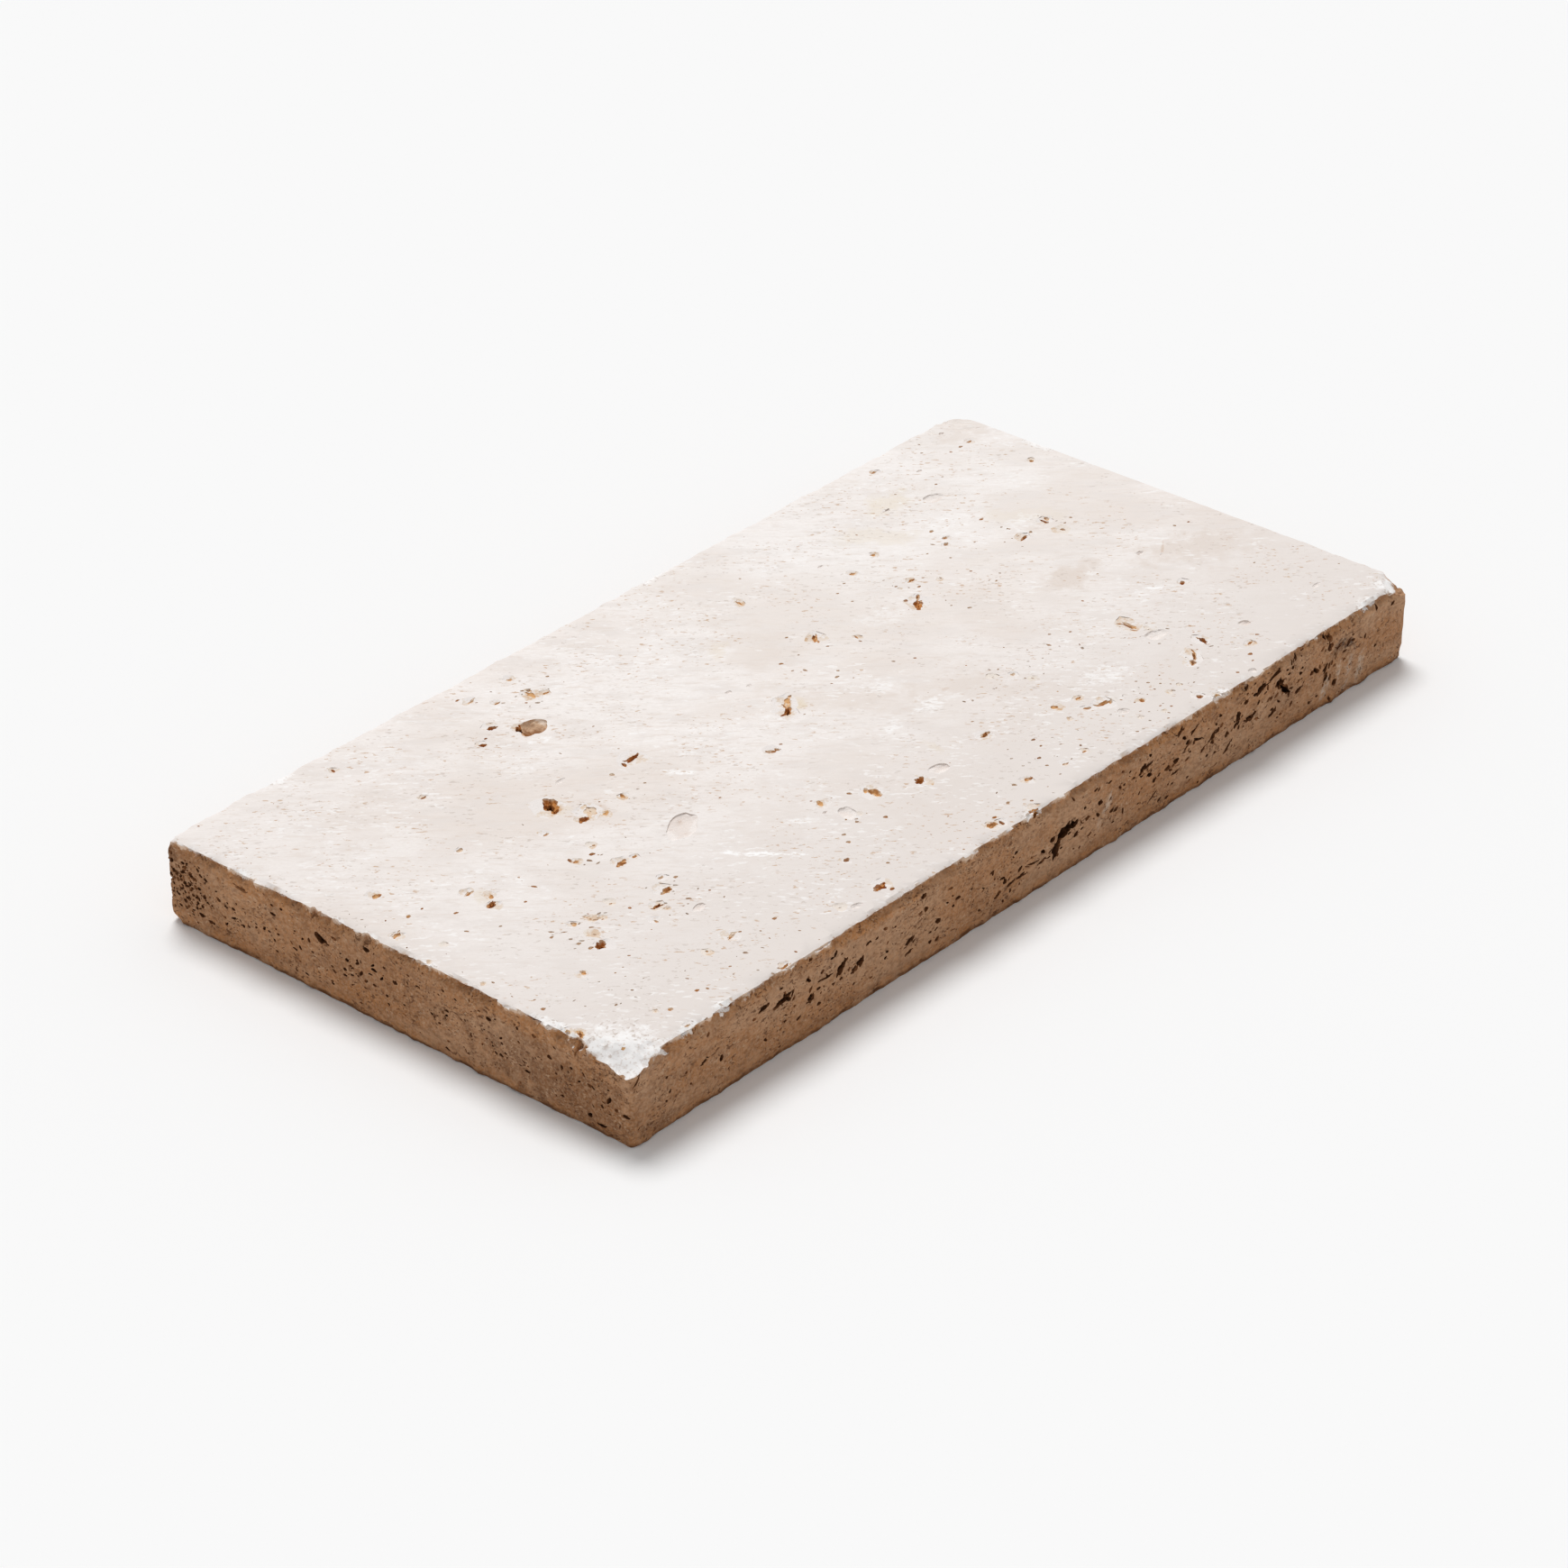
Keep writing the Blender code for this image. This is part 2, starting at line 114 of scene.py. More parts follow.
# Chips out of the arrises: along, length, reach into the face, reach down the wall
chips = {
    "frontTop": [(-172, 9, 2.2, 2.6), (-155, 8, 2.4, 2.6), (-127, 12, 2.4, 2.2), (-60, 14, 1.8, 2),
                 (-7, 9, 3.4, 2.4), (45, 12, 1.8, 2), (93, 11, 3, 2.6), (177, 13, 3.4, 3)],
    "nearTop": [(-78, 9, 3.6, 5), (-15, 13, 2.2, 2.4), (11, 12, 3.4, 4.4), (24, 10, 2.6, 2.6),
                (34, 7, 3, 3.6), (66, 9, 2, 2.6)],
    "backTop": [(-150, 12, 2.4, 2.6), (-78, 9, 3, 2.4), (16, 14, 2.6, 3), (96, 10, 2.2, 3)],
    "farTop": [(-30, 12, 2.4, 3), (52, 10, 2.6, 2.4)],
    "frontFoot": [(-164, 10, 2, 2), (-109, 7, 1.6, 1.6), (-53, 9, 2, 2.2), (92, 12, 2.2, 2.4),
                  (123, 7, 1.6, 1.8), (148, 9, 2, 2.2)],
    "nearFoot": [(-50, 7, 1.6, 1.8), (-41, 9, 2, 2.4), (38, 12, 2, 2.2)],
}

# Pits of the top: x, y, length, width, depth, turn from the X axis in degrees
topPits = {
    "dark": [
        (-105, 21.5, 8, 5.4, 4.5, 50), (-104.5, 7.2, 4.6, 3.4, 2.2, 20), (-75.6, 62.5, 4.4, 3.2, 4, 40),
        (-81.5, 69.5, 4, 3, 3, 0), (-91.5, 64, 3.2, 2.8, 3, 0),
        (-88, 66, 1.8, 1.2, 1.5, 0), (-65.5, 21.5, 7.5, 2.2, 3, 5), (-9, 3.5, 7.5, 2.4, 3.2, 35),
        (-161, -6, 4.2, 2.6, 3, 20), (-156, -47.3, 5, 3.5, 3.8, 35), (-128, -45.5, 4.2, 2, 2.8, 5),
        (-15.5, -58.5, 4.2, 3.5, 3, 0), (-68.5, -72.3, 2.4, 2.2, 3, 0), (-74, -90.7, 5, 4, 2.6, -10),
        (-18.7, -95, 3.5, 1.6, 2.5, 80), (-5.5, -98.3, 4, 2.6, 3, 0), (75.5, 17.5, 7, 3.6, 2.2, 42),
        (137.2, 20.2, 4.6, 1.7, 2.4, 15), (151.5, 22.5, 4, 1.2, 2, 80), (147.2, -41.7, 3.6, 1.9, 2.4, 35),
        (20.8, -79, 2, 1.1, 2, 0), (28.8, -70.2, 2, 1.1, 1.8, 0), (87.7, -94, 3.2, 2.6, 2.8, 60),
        (119, -71.7, 5, 2.1, 2.6, 70), (-70.5, 20.5, 3, 1.5, 1.6, 80), (-72.5, -94.5, 2, 1.6, 1.6, 0),
        (-128, 55.5, 3, 1.2, 1.6, 0), (-135, 89.5, 2.5, 1.5, 1.6, 80), (74.5, 22, 2, 1.4, 1.4, 0),
    ],
    "oval": [(-72.5, 59.5, 12.5, 9.5, 3.2, 15)],
    "warm": [
        (-99.5, 9, 7, 4.6, 0.9, 60), (-97, 4.5, 3.4, 2.2, 0.8, 10), (-57, 75, 6, 3, 1, 80),
        (-53, 72, 3, 1.5, 1, 0), (-181, 24.5, 3.5, 3, 1.4, 0), (-193, 4, 4, 2, 1.2, 0),
        (-161, 4, 4, 2, 1.2, 10), (-157.5, -2.5, 3.4, 2, 1.2, 45), (-116.5, -20, 4.5, 3, 2, 15),
        (-110.5, -20.3, 2.5, 1.5, 1.2, 0), (-125, -8.5, 3, 2, 0.9, 0), (-160, -42, 2, 1.5, 1, 0),
        (-159.5, -46.5, 2.2, 1.5, 1, 0), (-119, -41.5, 5, 3, 2, 25), (-114.5, -35, 3, 1.5, 1.2, 0),
        (-111.5, -38.5, 2, 1.4, 1, 0), (-152.5, -33, 3, 2, 1.2, 80), (-134.5, -51, 3, 1.5, 1, 80),
        (-171, -54, 3, 2, 1, 80), (-194, -58.8, 2, 1.6, 1, 0), (-126, -74.5, 5, 2, 1, 10),
        (-169, -88, 2, 1.8, 1, 0), (-193.5, -91, 3, 2, 1.2, 0), (-172, -97.5, 3, 1.5, 1, 0),
        (-128, -98, 4, 1.8, 1.2, 0), (-32.5, -10, 4.4, 2.4, 2.2, -35), (-47.5, -43.5, 3.5, 3, 1.2, 80),
        (-30.8, -52, 6, 4, 2.2, 85), (-22, -93.7, 4, 3, 1.8, -10), (21, -55.8, 4.2, 2.6, 1.8, 10),
        (8, -84.5, 3.5, 2.5, 1.4, 0), (63.5, -72.5, 6.5, 2.4, 2, -10), (57, -70.5, 3.4, 1.5, 1.4, -30),
        (60, -64.2, 3, 1.5, 1, 10), (50, -62, 3, 2.6, 1, 0), (73, -81, 2.5, 2, 1.4, 80),
        (58.8, -37.5, 2.5, 2, 1, 0), (92, -98, 3, 2.6, 1.4, 0), (110.8, -46.5, 7.5, 2.4, 2.2, 85),
        (108.5, -76, 7, 1.6, 2, 42), (104.5, -78.5, 4, 2.8, 2, 30), (34, 28.5, 6, 2, 1.8, 50),
        (87, 30, 3, 1.5, 1.3, 0), (77.5, 48.5, 3, 2.4, 1, 0), (92.5, 52, 2.5, 2, 1, 0),
        (36, 64.5, 4, 1.5, 1, 80), (118.8, 41, 2.5, 2, 1.3, 0), (115.5, 37.8, 2.5, 2, 1.3, 20),
        (119.3, 47.5, 2, 1.6, 1.2, 0), (185, 55, 2.5, 2, 1.2, 70), (-144, 24, 3, 2, 1, 10),
        (-119, 10, 3, 1.8, 1.2, 10), (-85.5, 7.5, 3, 2, 1.2, 80), (-78, 19, 2, 1.8, 1, 0),
        (-73, 87, 4, 1.5, 1, 10), (-68.5, 79.5, 3, 1, 1, 0), (-54, 87.5, 3, 2, 1, 0),
        (153.5, 23, 3, 2, 1.2, 70), (-5, 7, 7, 3, 1.2, 35), (79, 20.5, 4, 2, 1.6, 42),
        (176.5, 81, 2, 1.4, 1, 0), (182, 81.5, 3, 1.2, 1, 0), (141, 92, 3, 1.6, 1, 0),
        (-18, -91.5, 2, 1.6, 1.2, 0), (-109.7, -78, 2, 1.4, 1, 0), (-156, -87, 2, 1.4, 1, 0),
        (121.5, -89.7, 2.2, 1.5, 1.2, 0), (128, -84.8, 3.5, 1.5, 1.2, 10), (137.8, 40, 2.2, 1.5, 1.2, 0),
        (44, 18.5, 2.5, 1.5, 1.2, 80), (18.5, 5.5, 2.2, 1.2, 1, 0), (-198, -72.5, 3, 2, 1.4, 70),
        (-196.5, -76.5, 4, 2, 1.6, 60), (23.5, -87.5, 3, 1.5, 1, 0), (34, -87.3, 2.4, 1.4, 1, 0),
    ],
    "pale": [
        (-87, -19.5, 18, 10.5, 1.3, 35), (-92, 29, 5, 2, 0.7, 10), (-87.5, -92.5, 5, 3, 1, 0),
        (139.5, 63, 8.5, 7, 1.1, 0), (121, 69.5, 4, 3, 0.6, 0), (154.5, -17.5, 4, 2.5, 0.8, 0),
        (158.5, -24, 3, 1.2, 0.6, 20), (175.5, -78, 5, 2, 0.7, 10), (137.7, -75.3, 4.6, 4, 1, 0),
        (63, -81, 4.6, 4, 1, 0), (-46.5, -54, 8, 6.5, 1.2, 80), (-5.5, -58.5, 8, 6, 1.1, 0),
        (111.8, -57.5, 9, 7, 1.2, 0), (113, -97, 3.6, 3, 0.9, 0), (-120, -56, 6, 3.6, 0.8, 20),
        (74, 60, 3, 2, 0.6, 0), (180, 93, 2.6, 1.6, 0.8, 0), (-13, 26, 3, 2, 0.6, 0),
        (-5, 24, 2.4, 1.6, 0.6, 0), (-51, -48.5, 2.4, 1.6, 0.8, 0), (152, 80, 3, 1.5, 0.6, 0),
    ],
}

# Pits of the front long wall: x, height, length, width, depth, turn
frontPits = {
    "dark": [
        (-197, 23.5, 5, 1.4, 1.6, 50), (-139.5, 21.5, 5, 2.5, 3, 15), (-130, 20, 8, 2.6, 3, 12),
        (-159, 13, 3, 2, 2.5, 80), (-167, 15.5, 4, 1.3, 2, 10), (-175, 15.5, 1.6, 1.4, 1.5, 0),
        (-117.5, 14, 4, 3, 3, 30), (-123, 9.5, 3, 1.3, 2, 20), (-110, 18, 9, 1.2, 2.4, -5),
        (-102.5, 18, 5.5, 3, 3.8, 35), (-96.5, 14.4, 4, 2.6, 3.2, 20), (-93.5, 16, 4, 3, 3.8, 45),
        (-90, 21, 3, 1.3, 2, 25), (-86, 20.8, 2, 1.2, 1.6, 20), (-63, 25.5, 3.2, 2.2, 2.6, 10),
        (-62.5, 27.3, 2.4, 1.2, 1.6, 10), (-70, 12, 5, 2, 2.5, 30), (-70, 8, 4, 1.5, 2, 10),
        (-81.5, 11.5, 2, 1.4, 1.6, 20), (-56, 13, 3, 2.5, 2.6, 0), (-60, 7, 2, 1.4, 1.8, 0),
        (-56.5, 6.5, 2.6, 1.4, 1.8, 30), (-48.5, 15, 1.8, 1.4, 1.6, 0), (-28.5, 18, 3, 1.2, 2, 20),
        (-23.5, 13.3, 3, 1.2, 2, 0), (-26, 8, 3.6, 1.6, 2.2, 15), (-19, 9.5, 5, 1.3, 2, 10),
        (-14, 10, 5, 1.6, 2.2, 10), (-8, 11.8, 6, 1.2, 2, -12), (-3, 10.3, 5, 1.6, 2.2, 10),
        (4.5, 12, 7, 4, 5, 60), (8.5, 16.3, 8.5, 6, 6, 40), (13, 16.8, 5, 3.6, 4.2, 0),
        (25, 24.5, 3, 1.5, 2, 10), (32.5, 24, 3, 1.3, 2, 10), (27.5, 18.5, 3.2, 2.6, 2.8, 0),
        (34.5, 8, 2, 1.2, 1.6, 0), (45, 20, 2, 1.3, 1.6, 0), (19, 20.5, 2, 1.3, 1.6, 0),
        (53, 21.5, 5, 1.3, 2, 5), (64, 28, 3, 1.2, 1.6, 10), (70, 26.5, 4.6, 1.6, 2.2, 30),
        (68, 16.3, 3.6, 2.2, 2.8, 0), (74, 19.2, 6, 1.2, 2.2, 35), (80, 19.2, 5, 1.2, 2, -20),
        (68, 12, 5, 1.2, 1.8, 5), (83, 14, 4, 1.4, 2, 35), (64, 4, 3, 1.4, 2, 0),
        (75, 7, 2, 1.3, 1.6, 0), (59, 15, 2.4, 1.4, 1.8, 40), (92, 23, 2, 1.5, 1.6, 0),
        (90, 10, 2, 1.2, 1.5, 0), (102.5, 18, 4.6, 3, 3.4, 80), (109, 14.5, 6, 2.6, 3.4, -5),
        (115, 23.5, 6.5, 3, 3.8, 20), (122.5, 25.5, 9, 1.5, 2.4, 20), (126, 20.8, 5, 3.6, 3.8, -45),
        (129.5, 17, 6.8, 3.4, 4.4, -50), (122, 11, 4.6, 2, 2.6, 30), (135, 27.3, 4.4, 2, 2.6, 45),
        (133, 24, 2.2, 1.8, 2, 0), (137, 13.8, 4.4, 1.7, 2.2, 20), (133, 10, 3, 1.4, 1.8, 60),
        (148, 6.5, 2, 1.2, 1.6, 0), (158, 7.5, 3.4, 3, 3, 0), (181.5, 27, 3, 1.4, 2.6, 80),
        (191, 24.8, 2.8, 1.4, 2.2, 30), (175, 18.7, 2.2, 1.6, 2, 70), (182, 12, 2, 1.6, 2, 20),
        (160, 21, 5, 1.6, 1.2, 20), (165.5, 20, 4, 1.8, 1.2, 60), (163, 17.5, 3, 1.2, 1, 10),
        (168, 22, 2.4, 1.4, 1, 0), (158, 17.5, 3, 1, 1, 70), (-132, 3.5, 2, 1.2, 1.4, 0),
        (111, 27, 2.2, 1.3, 1.6, 0), (39, 25, 1.8, 1.2, 1.4, 0), (97, 9, 6, 1.6, 2, 35),
        (88, 17, 7, 1.3, 2, 38), (56, 8, 6, 1.2, 1.8, 30), (78, 24, 6, 1.3, 2, 28),
    ],
    "warm": [
        (-142, 26.5, 2.6, 1.4, 1, 0), (-144, 19.5, 2.4, 1.4, 1.2, 0), (113.5, 12.6, 5, 2, 1.4, -25),
        (127, 8.5, 2.4, 1.6, 1.4, 0), (163, 14.5, 2, 1.4, 1.2, 0), (76, 5, 4, 1.2, 1.2, 10),
        (-50, 22, 2.6, 1.4, 1, 0), (150, 24, 3, 1.4, 1, 40), (-125, 15, 2, 1.2, 1, 0),
    ],
}

# Pits of the near end: y, height, length, width, depth, turn
nearPits = {
    "dark": [
        (52.5, 24.5, 1.8, 1.3, 1.6, 0), (48.5, 24.5, 1.6, 1.2, 1.5, 0), (52, 21.3, 3.2, 1.3, 2, 0),
        (82.5, 21.5, 2, 1.4, 1.8, 0), (31, 21, 5.2, 3, 3.6, 25), (70.5, 15.5, 2, 1.3, 1.8, 0),
        (74, 15, 2, 1.2, 1.6, 0), (70.5, 12, 4, 1.2, 2, -15), (66, 11, 1.8, 1.4, 1.8, 0),
        (43, 12, 3, 1.4, 2, 0), (40.5, 13.6, 2.2, 1.4, 1.8, 40), (85, 7.5, 3, 1.6, 2, 0),
        (81, 6.5, 2.4, 1.3, 1.8, 0), (74, 8.5, 2, 1.1, 1.6, -50), (51, 8, 2, 1.1, 1.5, 0),
        (19.5, 17.8, 2, 1.5, 1.8, 0), (15, 18.5, 2.4, 1.5, 1.8, -40), (13.5, 15.5, 2.8, 1.5, 2, -60),
        (8, 19, 3, 1.4, 2, 0), (-1, 18, 2.6, 2, 2.2, 0), (11.5, 13.5, 2, 1.5, 1.8, -30),
        (17.5, 13.3, 2, 1, 1.5, 0), (20.5, 12, 2.2, 1.1, 1.5, 0), (11, 25.2, 3.4, 1.8, 2.6, 0),
        (-34, 27, 1.8, 1.2, 1.5, 0), (-22, 24, 1.6, 1.2, 1.5, 0), (-41, 21.8, 2.8, 1.7, 2.2, 0),
        (-23.5, 17.3, 1.8, 1.3, 1.6, 0), (-46, 11, 2, 1.4, 1.8, 0), (-57, 9.7, 3, 1.2, 1.8, 0),
        (-66, 19, 2.2, 1.8, 2.2, 0), (-71, 17.5, 2.2, 1.5, 1.8, 70), (-75, 18.8, 1.6, 1.2, 1.5, 0),
        (-90.5, 14, 3.8, 1.6, 2.6, -60), (-97, 11, 3, 1.6, 2.2, 0), (-82.5, 5.2, 2.8, 1.8, 2.4, -40),
        (-87.5, 3.6, 4.4, 1.7, 2.6, -10), (-71.5, 7.5, 1.8, 1.2, 1.5, 0), (-22.5, 3, 2.6, 1.5, 1.8, 0),
        (-32, 5.5, 1.8, 1.2, 1.5, 0), (3.5, 21.5, 1.8, 1.3, 1.5, 0), (38, 5, 2, 1.2, 1.5, 0),
    ],
    "warm": [
        (66, 25, 6.8, 1.5, 2, 0), (-23.5, 6.3, 2, 1.2, 1, 0), (41, 8.5, 2, 1.2, 1, 0),
        (25, 23.5, 3, 1.4, 1.2, 0), (-5, 8, 2.4, 1.3, 1, 0), (-60, 24, 2.4, 1.3, 1, 0),
    ],
}

# Small pores: how many on each face, shortest, longest. Their depth is a share of their length
pores = {
    "top": (80, 0.6, 1.4),
    "under": (60, 0.9, 2.6),
    "front": (230, 0.7, 2.2),
    "back": (130, 0.7, 2.6),
    "near": (150, 0.7, 2.0),
    "far": (90, 0.7, 2.6),
    "flatness": (0.3, 0.8),   # width as a share of the length
    "depth": (0.4, 0.9),
    "topDepth": 0.6,          # those of the top are shallower by this
    "smallness": 2.2,         # a higher power makes more of them small
    "warmOnFace": 0.8,        # share with the warm lining
    "warmOnWall": 0.35,
    "faceTurn": -30,          # which way they lie, degrees
    "wallTurn": 14,
    "turnSpread": 28,
    "endGap": 3,              # distance from the edges of their face
    "footGap": 2,
    "seed": 11,
}

# Single dots of the top: length, width and depth as shares of it, places
dotLength = (1.2, 2.0)
dotFlatness = (0.5, 0.8)
dotDepth = 0.6
topDots = [
    (-76, 90.5), (-44.5, 79), (-75, 7.5), (-79, 41), (-188, 97), (-183, 8.5), (-177, 8.5), (32.5, 21.5),
    (84.8, 2.3), (82, 8), (80, 31), (91, 28), (95, 23.5), (70, 46), (63, 43), (62, 35.5), (42.5, 15.5),
    (12, 19.5), (15, 16.5), (14, 4), (22, 8), (13, 25.5), (21.5, 25), (28, 36), (132.5, 75), (168, 93.5),
    (163.5, 88.5), (171, 81), (148, 69), (154, 71), (112, 41), (105.5, 38), (108.5, 30), (123, 31),
    (105.5, 18.5), (111, 10), (106, 7.5), (155, 16), (159.5, 17), (-172, -1.2), (-177.5, -11),
    (-168.5, -17), (-153, -13), (-114, -6), (-147, -35), (-134.5, -40), (-155, -58.3), (-122.5, -75),
    (-118, -79.5), (-178, -74), (-155, -98), (-133.5, -98), (-120, -95.5), (-110, -88.5), (-66, -17),
    (-27.5, -9.5), (-7.5, -2.5), (-37, -46.7), (-50, -56.5), (-40.5, -65), (-57.5, -62), (-60, -66),
    (-61.5, -83.5), (-2, -94), (-8, -89), (27.3, -74.5), (2, -83.5), (73.8, -88), (55.3, -92.7),
    (57.8, -32), (82, -34.5), (88, -30), (94, -34.3), (25, -47.5), (39, -2), (45.5, -6), (81.5, -72),
    (83.5, -75.5), (85.7, -79), (76, -91), (72, -93), (69, -95), (38.5, -98.5), (134, -83.4),
    (108.6, -94), (118.5, -93), (174.8, -52), (184, -16.5), (178.5, -14.5), (178, -99),
]

# Places where pits crowd together: along, across, reach along, reach across, count, shortest, longest, turn,
# smallest width as a share of the length. The first one of the near wall is the spongy patch at its left end
thickets = {
    "near": [
        (92, 16, 11, 11, 250, 0.8, 2.3, 0, 0.65), (15, 17, 16, 7, 36, 0.8, 2.4, -30, 0.3),
        (62, 13, 22, 9, 64, 0.8, 2.2, 0, 0.3), (-60, 15, 26, 9, 40, 0.8, 2.0, 0, 0.4),
        (-30, 13, 30, 10, 40, 0.7, 1.9, 10, 0.3), (-88, 13, 12, 10, 30, 0.8, 2.4, -20, 0.3),
    ],
    "front": [
        (75, 16, 62, 11, 124, 0.9, 3.4, 30, 0.45), (125, 18, 26, 9, 44, 1.0, 3.2, 35, 0.5),
        (-105, 17, 34, 9, 78, 0.9, 2.8, 15, 0.3), (-22, 12, 34, 9, 80, 0.9, 3.0, 12, 0.3),
        (-180, 16, 22, 9, 28, 0.8, 2.0, 10, 0.3), (154, 15, 5, 12, 26, 1.6, 4.5, 75, 0.3),
        (45, 20, 16, 7, 24, 0.9, 2.4, 20, 0.3),
    ],
    "top": [
        (-151, -35, 15, 8, 20, 0.9, 2.4, -30, 0.3), (-123, -11, 14, 6, 12, 0.9, 2.4, -30, 0.3),
        (-116, -46, 14, 10, 16, 0.9, 2.4, -30, 0.3), (-172, -64, 18, 12, 14, 0.8, 1.8, -40, 0.3),
        (75, -84, 32, 12, 40, 0.8, 2.0, -30, 0.3), (112, -62, 12, 20, 18, 0.8, 2.0, -50, 0.3),
        (30, -82, 34, 12, 24, 0.7, 1.8, -30, 0.3), (-57, 79, 9, 11, 14, 0.9, 2.4, -30, 0.3),
        (-95, 12, 20, 14, 14, 0.7, 1.8, -30, 0.3), (88, 27, 14, 10, 12, 0.7, 1.8, -30, 0.3),
        (-194, -10, 5, 70, 18, 0.7, 1.5, 80, 0.3), (62, -38, 34, 10, 22, 0.8, 2.0, -45, 0.3),
        (-45, -54, 8, 8, 8, 0.9, 2.0, -30, 0.3), (136, 24, 22, 8, 14, 0.8, 2.2, -20, 0.3),
        (-140, -84, 34, 12, 16, 0.8, 2.0, -40, 0.3),
    ],
    "back": [(60, 16, 50, 9, 44, 0.8, 3.0, 20, 0.3), (-110, 14, 40, 9, 36, 0.8, 2.6, 10, 0.3)],
    "far": [(20, 16, 36, 9, 34, 0.8, 2.6, 15, 0.3)],
    "under": [(-60, 30, 60, 30, 34, 0.9, 2.4, 30, 0.3), (90, -20, 50, 40, 30, 0.9, 2.4, 30, 0.3)],
}

# How the pits of a crowd lie
thicketRules = {
    "spread": 0.55,         # how far one strays, as a share of the reach
    "edgeGap": 0.6,
    "onWall": (2, 28),      # lowest and highest on a wall
    "smallness": 2,
    "widest": (0.8, 1.5),   # a share of the length, or of the smallest width where that is more
    "wallDepth": 1.4,       # those of the walls are deeper by this
    "faintOnFace": 0.6,     # share with the faint lining
    "warmOnWall": 0.3,
    "turnSpread": 40,
    "haloShare": 0.12,
    "haloSize": 2,
}

# What goes with a larger pit. Lengths and depths are millimetres, the rest are shares of the pit and degrees
pitCompany = {
    "smoothFrom": 4.4,        # a pale or oval dip over this length is smooth
    "smallFrom": 3.9,         # over this length a pit has smaller ones at its ends
    "smallAway": (0.3, 0.5),
    "smallSwing": 25,
    "smallSize": (0.35, 0.6),
    "smallTurn": 50,
    "haloFrom": 2.3,          # over this length a pit of the top has a stained dip round it
    "haloAway": 0.4,
    "haloLength": 0.8,
    "haloDepth": 0.4,
    "haloTurn": 30,
}

# Larger pits of the three faces that the camera doesn't see: count, shortest, longest
hiddenPits = {"back": (26, 2, 7), "far": (14, 2, 6), "under": (34, 2, 8)}


def note(text):
    print("stage:", text)


def deselectAll():
    if bpy.context.object and bpy.context.object.mode != "OBJECT":
        bpy.ops.object.mode_set(mode="OBJECT")
    bpy.ops.object.select_all(action="DESELECT")


def activate(obj):
    deselectAll()
    obj.select_set(True)
    bpy.context.view_layer.objects.active = obj


def pick(kind, test):
    # selects the edges or faces of the active object that pass the test
    bpy.ops.object.mode_set(mode="EDIT")
    bpy.ops.mesh.select_mode(type=kind)
    bpy.ops.mesh.select_all(action="DESELECT")
    shape = bmesh.from_edit_mesh(bpy.context.object.data)
    for part in shape.edges if kind == "EDGE" else shape.faces:
        part.select = test(part)
    shape.select_flush_mode()
    bmesh.update_edit_mesh(bpy.context.object.data)


inLine = 0.99   # an edge or a normal counts as in line with an axis from this cosine


def runsAlong(edge, axis, shortest):
    step = edge.verts[0].co - edge.verts[1].co
    return abs(step[axis]) > inLine * step.length and step.length > shortest * mm


def isLevel(face):
    return abs(face.normal.z) > inLine


def isUpper(part):
    return part.verts[0].co.z > thick / 2


def isFlatFace(face):
    return isLevel(face) and face.calc_area() > sawnBlock["flatArea"] * mm * mm


def isRim(edge):
    # an edge that lies level between a wall and a flat face
    rise = abs(edge.verts[0].co.z - edge.verts[1].co.z)
    return sum(isLevel(f) for f in edge.link_faces) == 1 and rise < 0.1 * mm


def applyAll(obj):
    activate(obj)
    for modifier in list(obj.modifiers):
        bpy.ops.object.modifier_apply(modifier=modifier.name)


def noiseTexture(name, size, contrast):
    texture = bpy.data.textures.new(name, "CLOUDS")
    texture.noise_scale = size * mm
    texture.noise_depth = 2
    texture.contrast = contrast
    return texture


def addDisplace(obj, name, patch, depth, contrast, group, midLevel=1.0):
    # with a middle level of 1 the surface only ever moves inwards
    modifier = obj.modifiers.new(name, "DISPLACE")
    modifier.texture = noiseTexture(name, patch, contrast)
    modifier.texture_coords = "LOCAL"
    modifier.direction = "NORMAL"
    modifier.mid_level = midLevel
    modifier.strength = depth * mm
    if group:
        modifier.vertex_group = group


# The sawn block

def addBlock():
    deselectAll()
    bpy.ops.mesh.primitive_cube_add(size=1, location=(middle.x, middle.y, thick / 2))
    block = bpy.context.object
    block.name = "travertinePaver"
    block.data.name = "travertinePaver"
    block.scale = (2 * halfLength, 2 * halfWidth, thick)
    bpy.ops.object.transform_apply(location=True, rotation=True, scale=True)
    return block


def bevelEdges(width, steps):
    bpy.ops.mesh.bevel(
        offset=width * mm, offset_type="OFFSET", segments=steps, profile=0.5, affect="EDGES",
    )


def roundCorners():
    for (sideX, sideY), radius in sawnBlock["cornerRadius"].items():
        corner = Vector((middle.x + sideX * halfLength, middle.y + sideY * halfWidth))
        steps = max(2, round(radius * math.pi / 2 / sawnBlock["cornerStep"]))
        pick("EDGE", lambda e: all((v.co.xy - corner).length < mm for v in e.verts))
        bevelEdges(radius, steps)


def skewFarEnd():
    pick("FACE", lambda f: False)
    shape = bmesh.from_edit_mesh(bpy.context.object.data)
    for vert in shape.verts:
        vert.select = vert.co.x > 0 and vert.co.y > 0
    shape.select_flush(True)
    bpy.ops.transform.translate(value=(-sawnBlock["farSkew"] * mm, 0, 0))


def cutColumns():
    # long edges first, then the pieces that they were cut into
    for axis, cuts, reach in ((0, sawnBlock["cutsAlong"], 300), (1, sawnBlock["cutsAcross"], 150)):
        pick("EDGE", lambda e: runsAlong(e, axis, reach))
        bpy.ops.mesh.subdivide(number_cuts=cuts[0])
        pick("EDGE", lambda e: runsAlong(e, axis, 3) and isRim(e))
        bpy.ops.mesh.subdivide(number_cuts=cuts[1])
        pick("FACE", isLevel)
        bpy.ops.mesh.dissolve_faces()   # the cuts run over the flat faces too


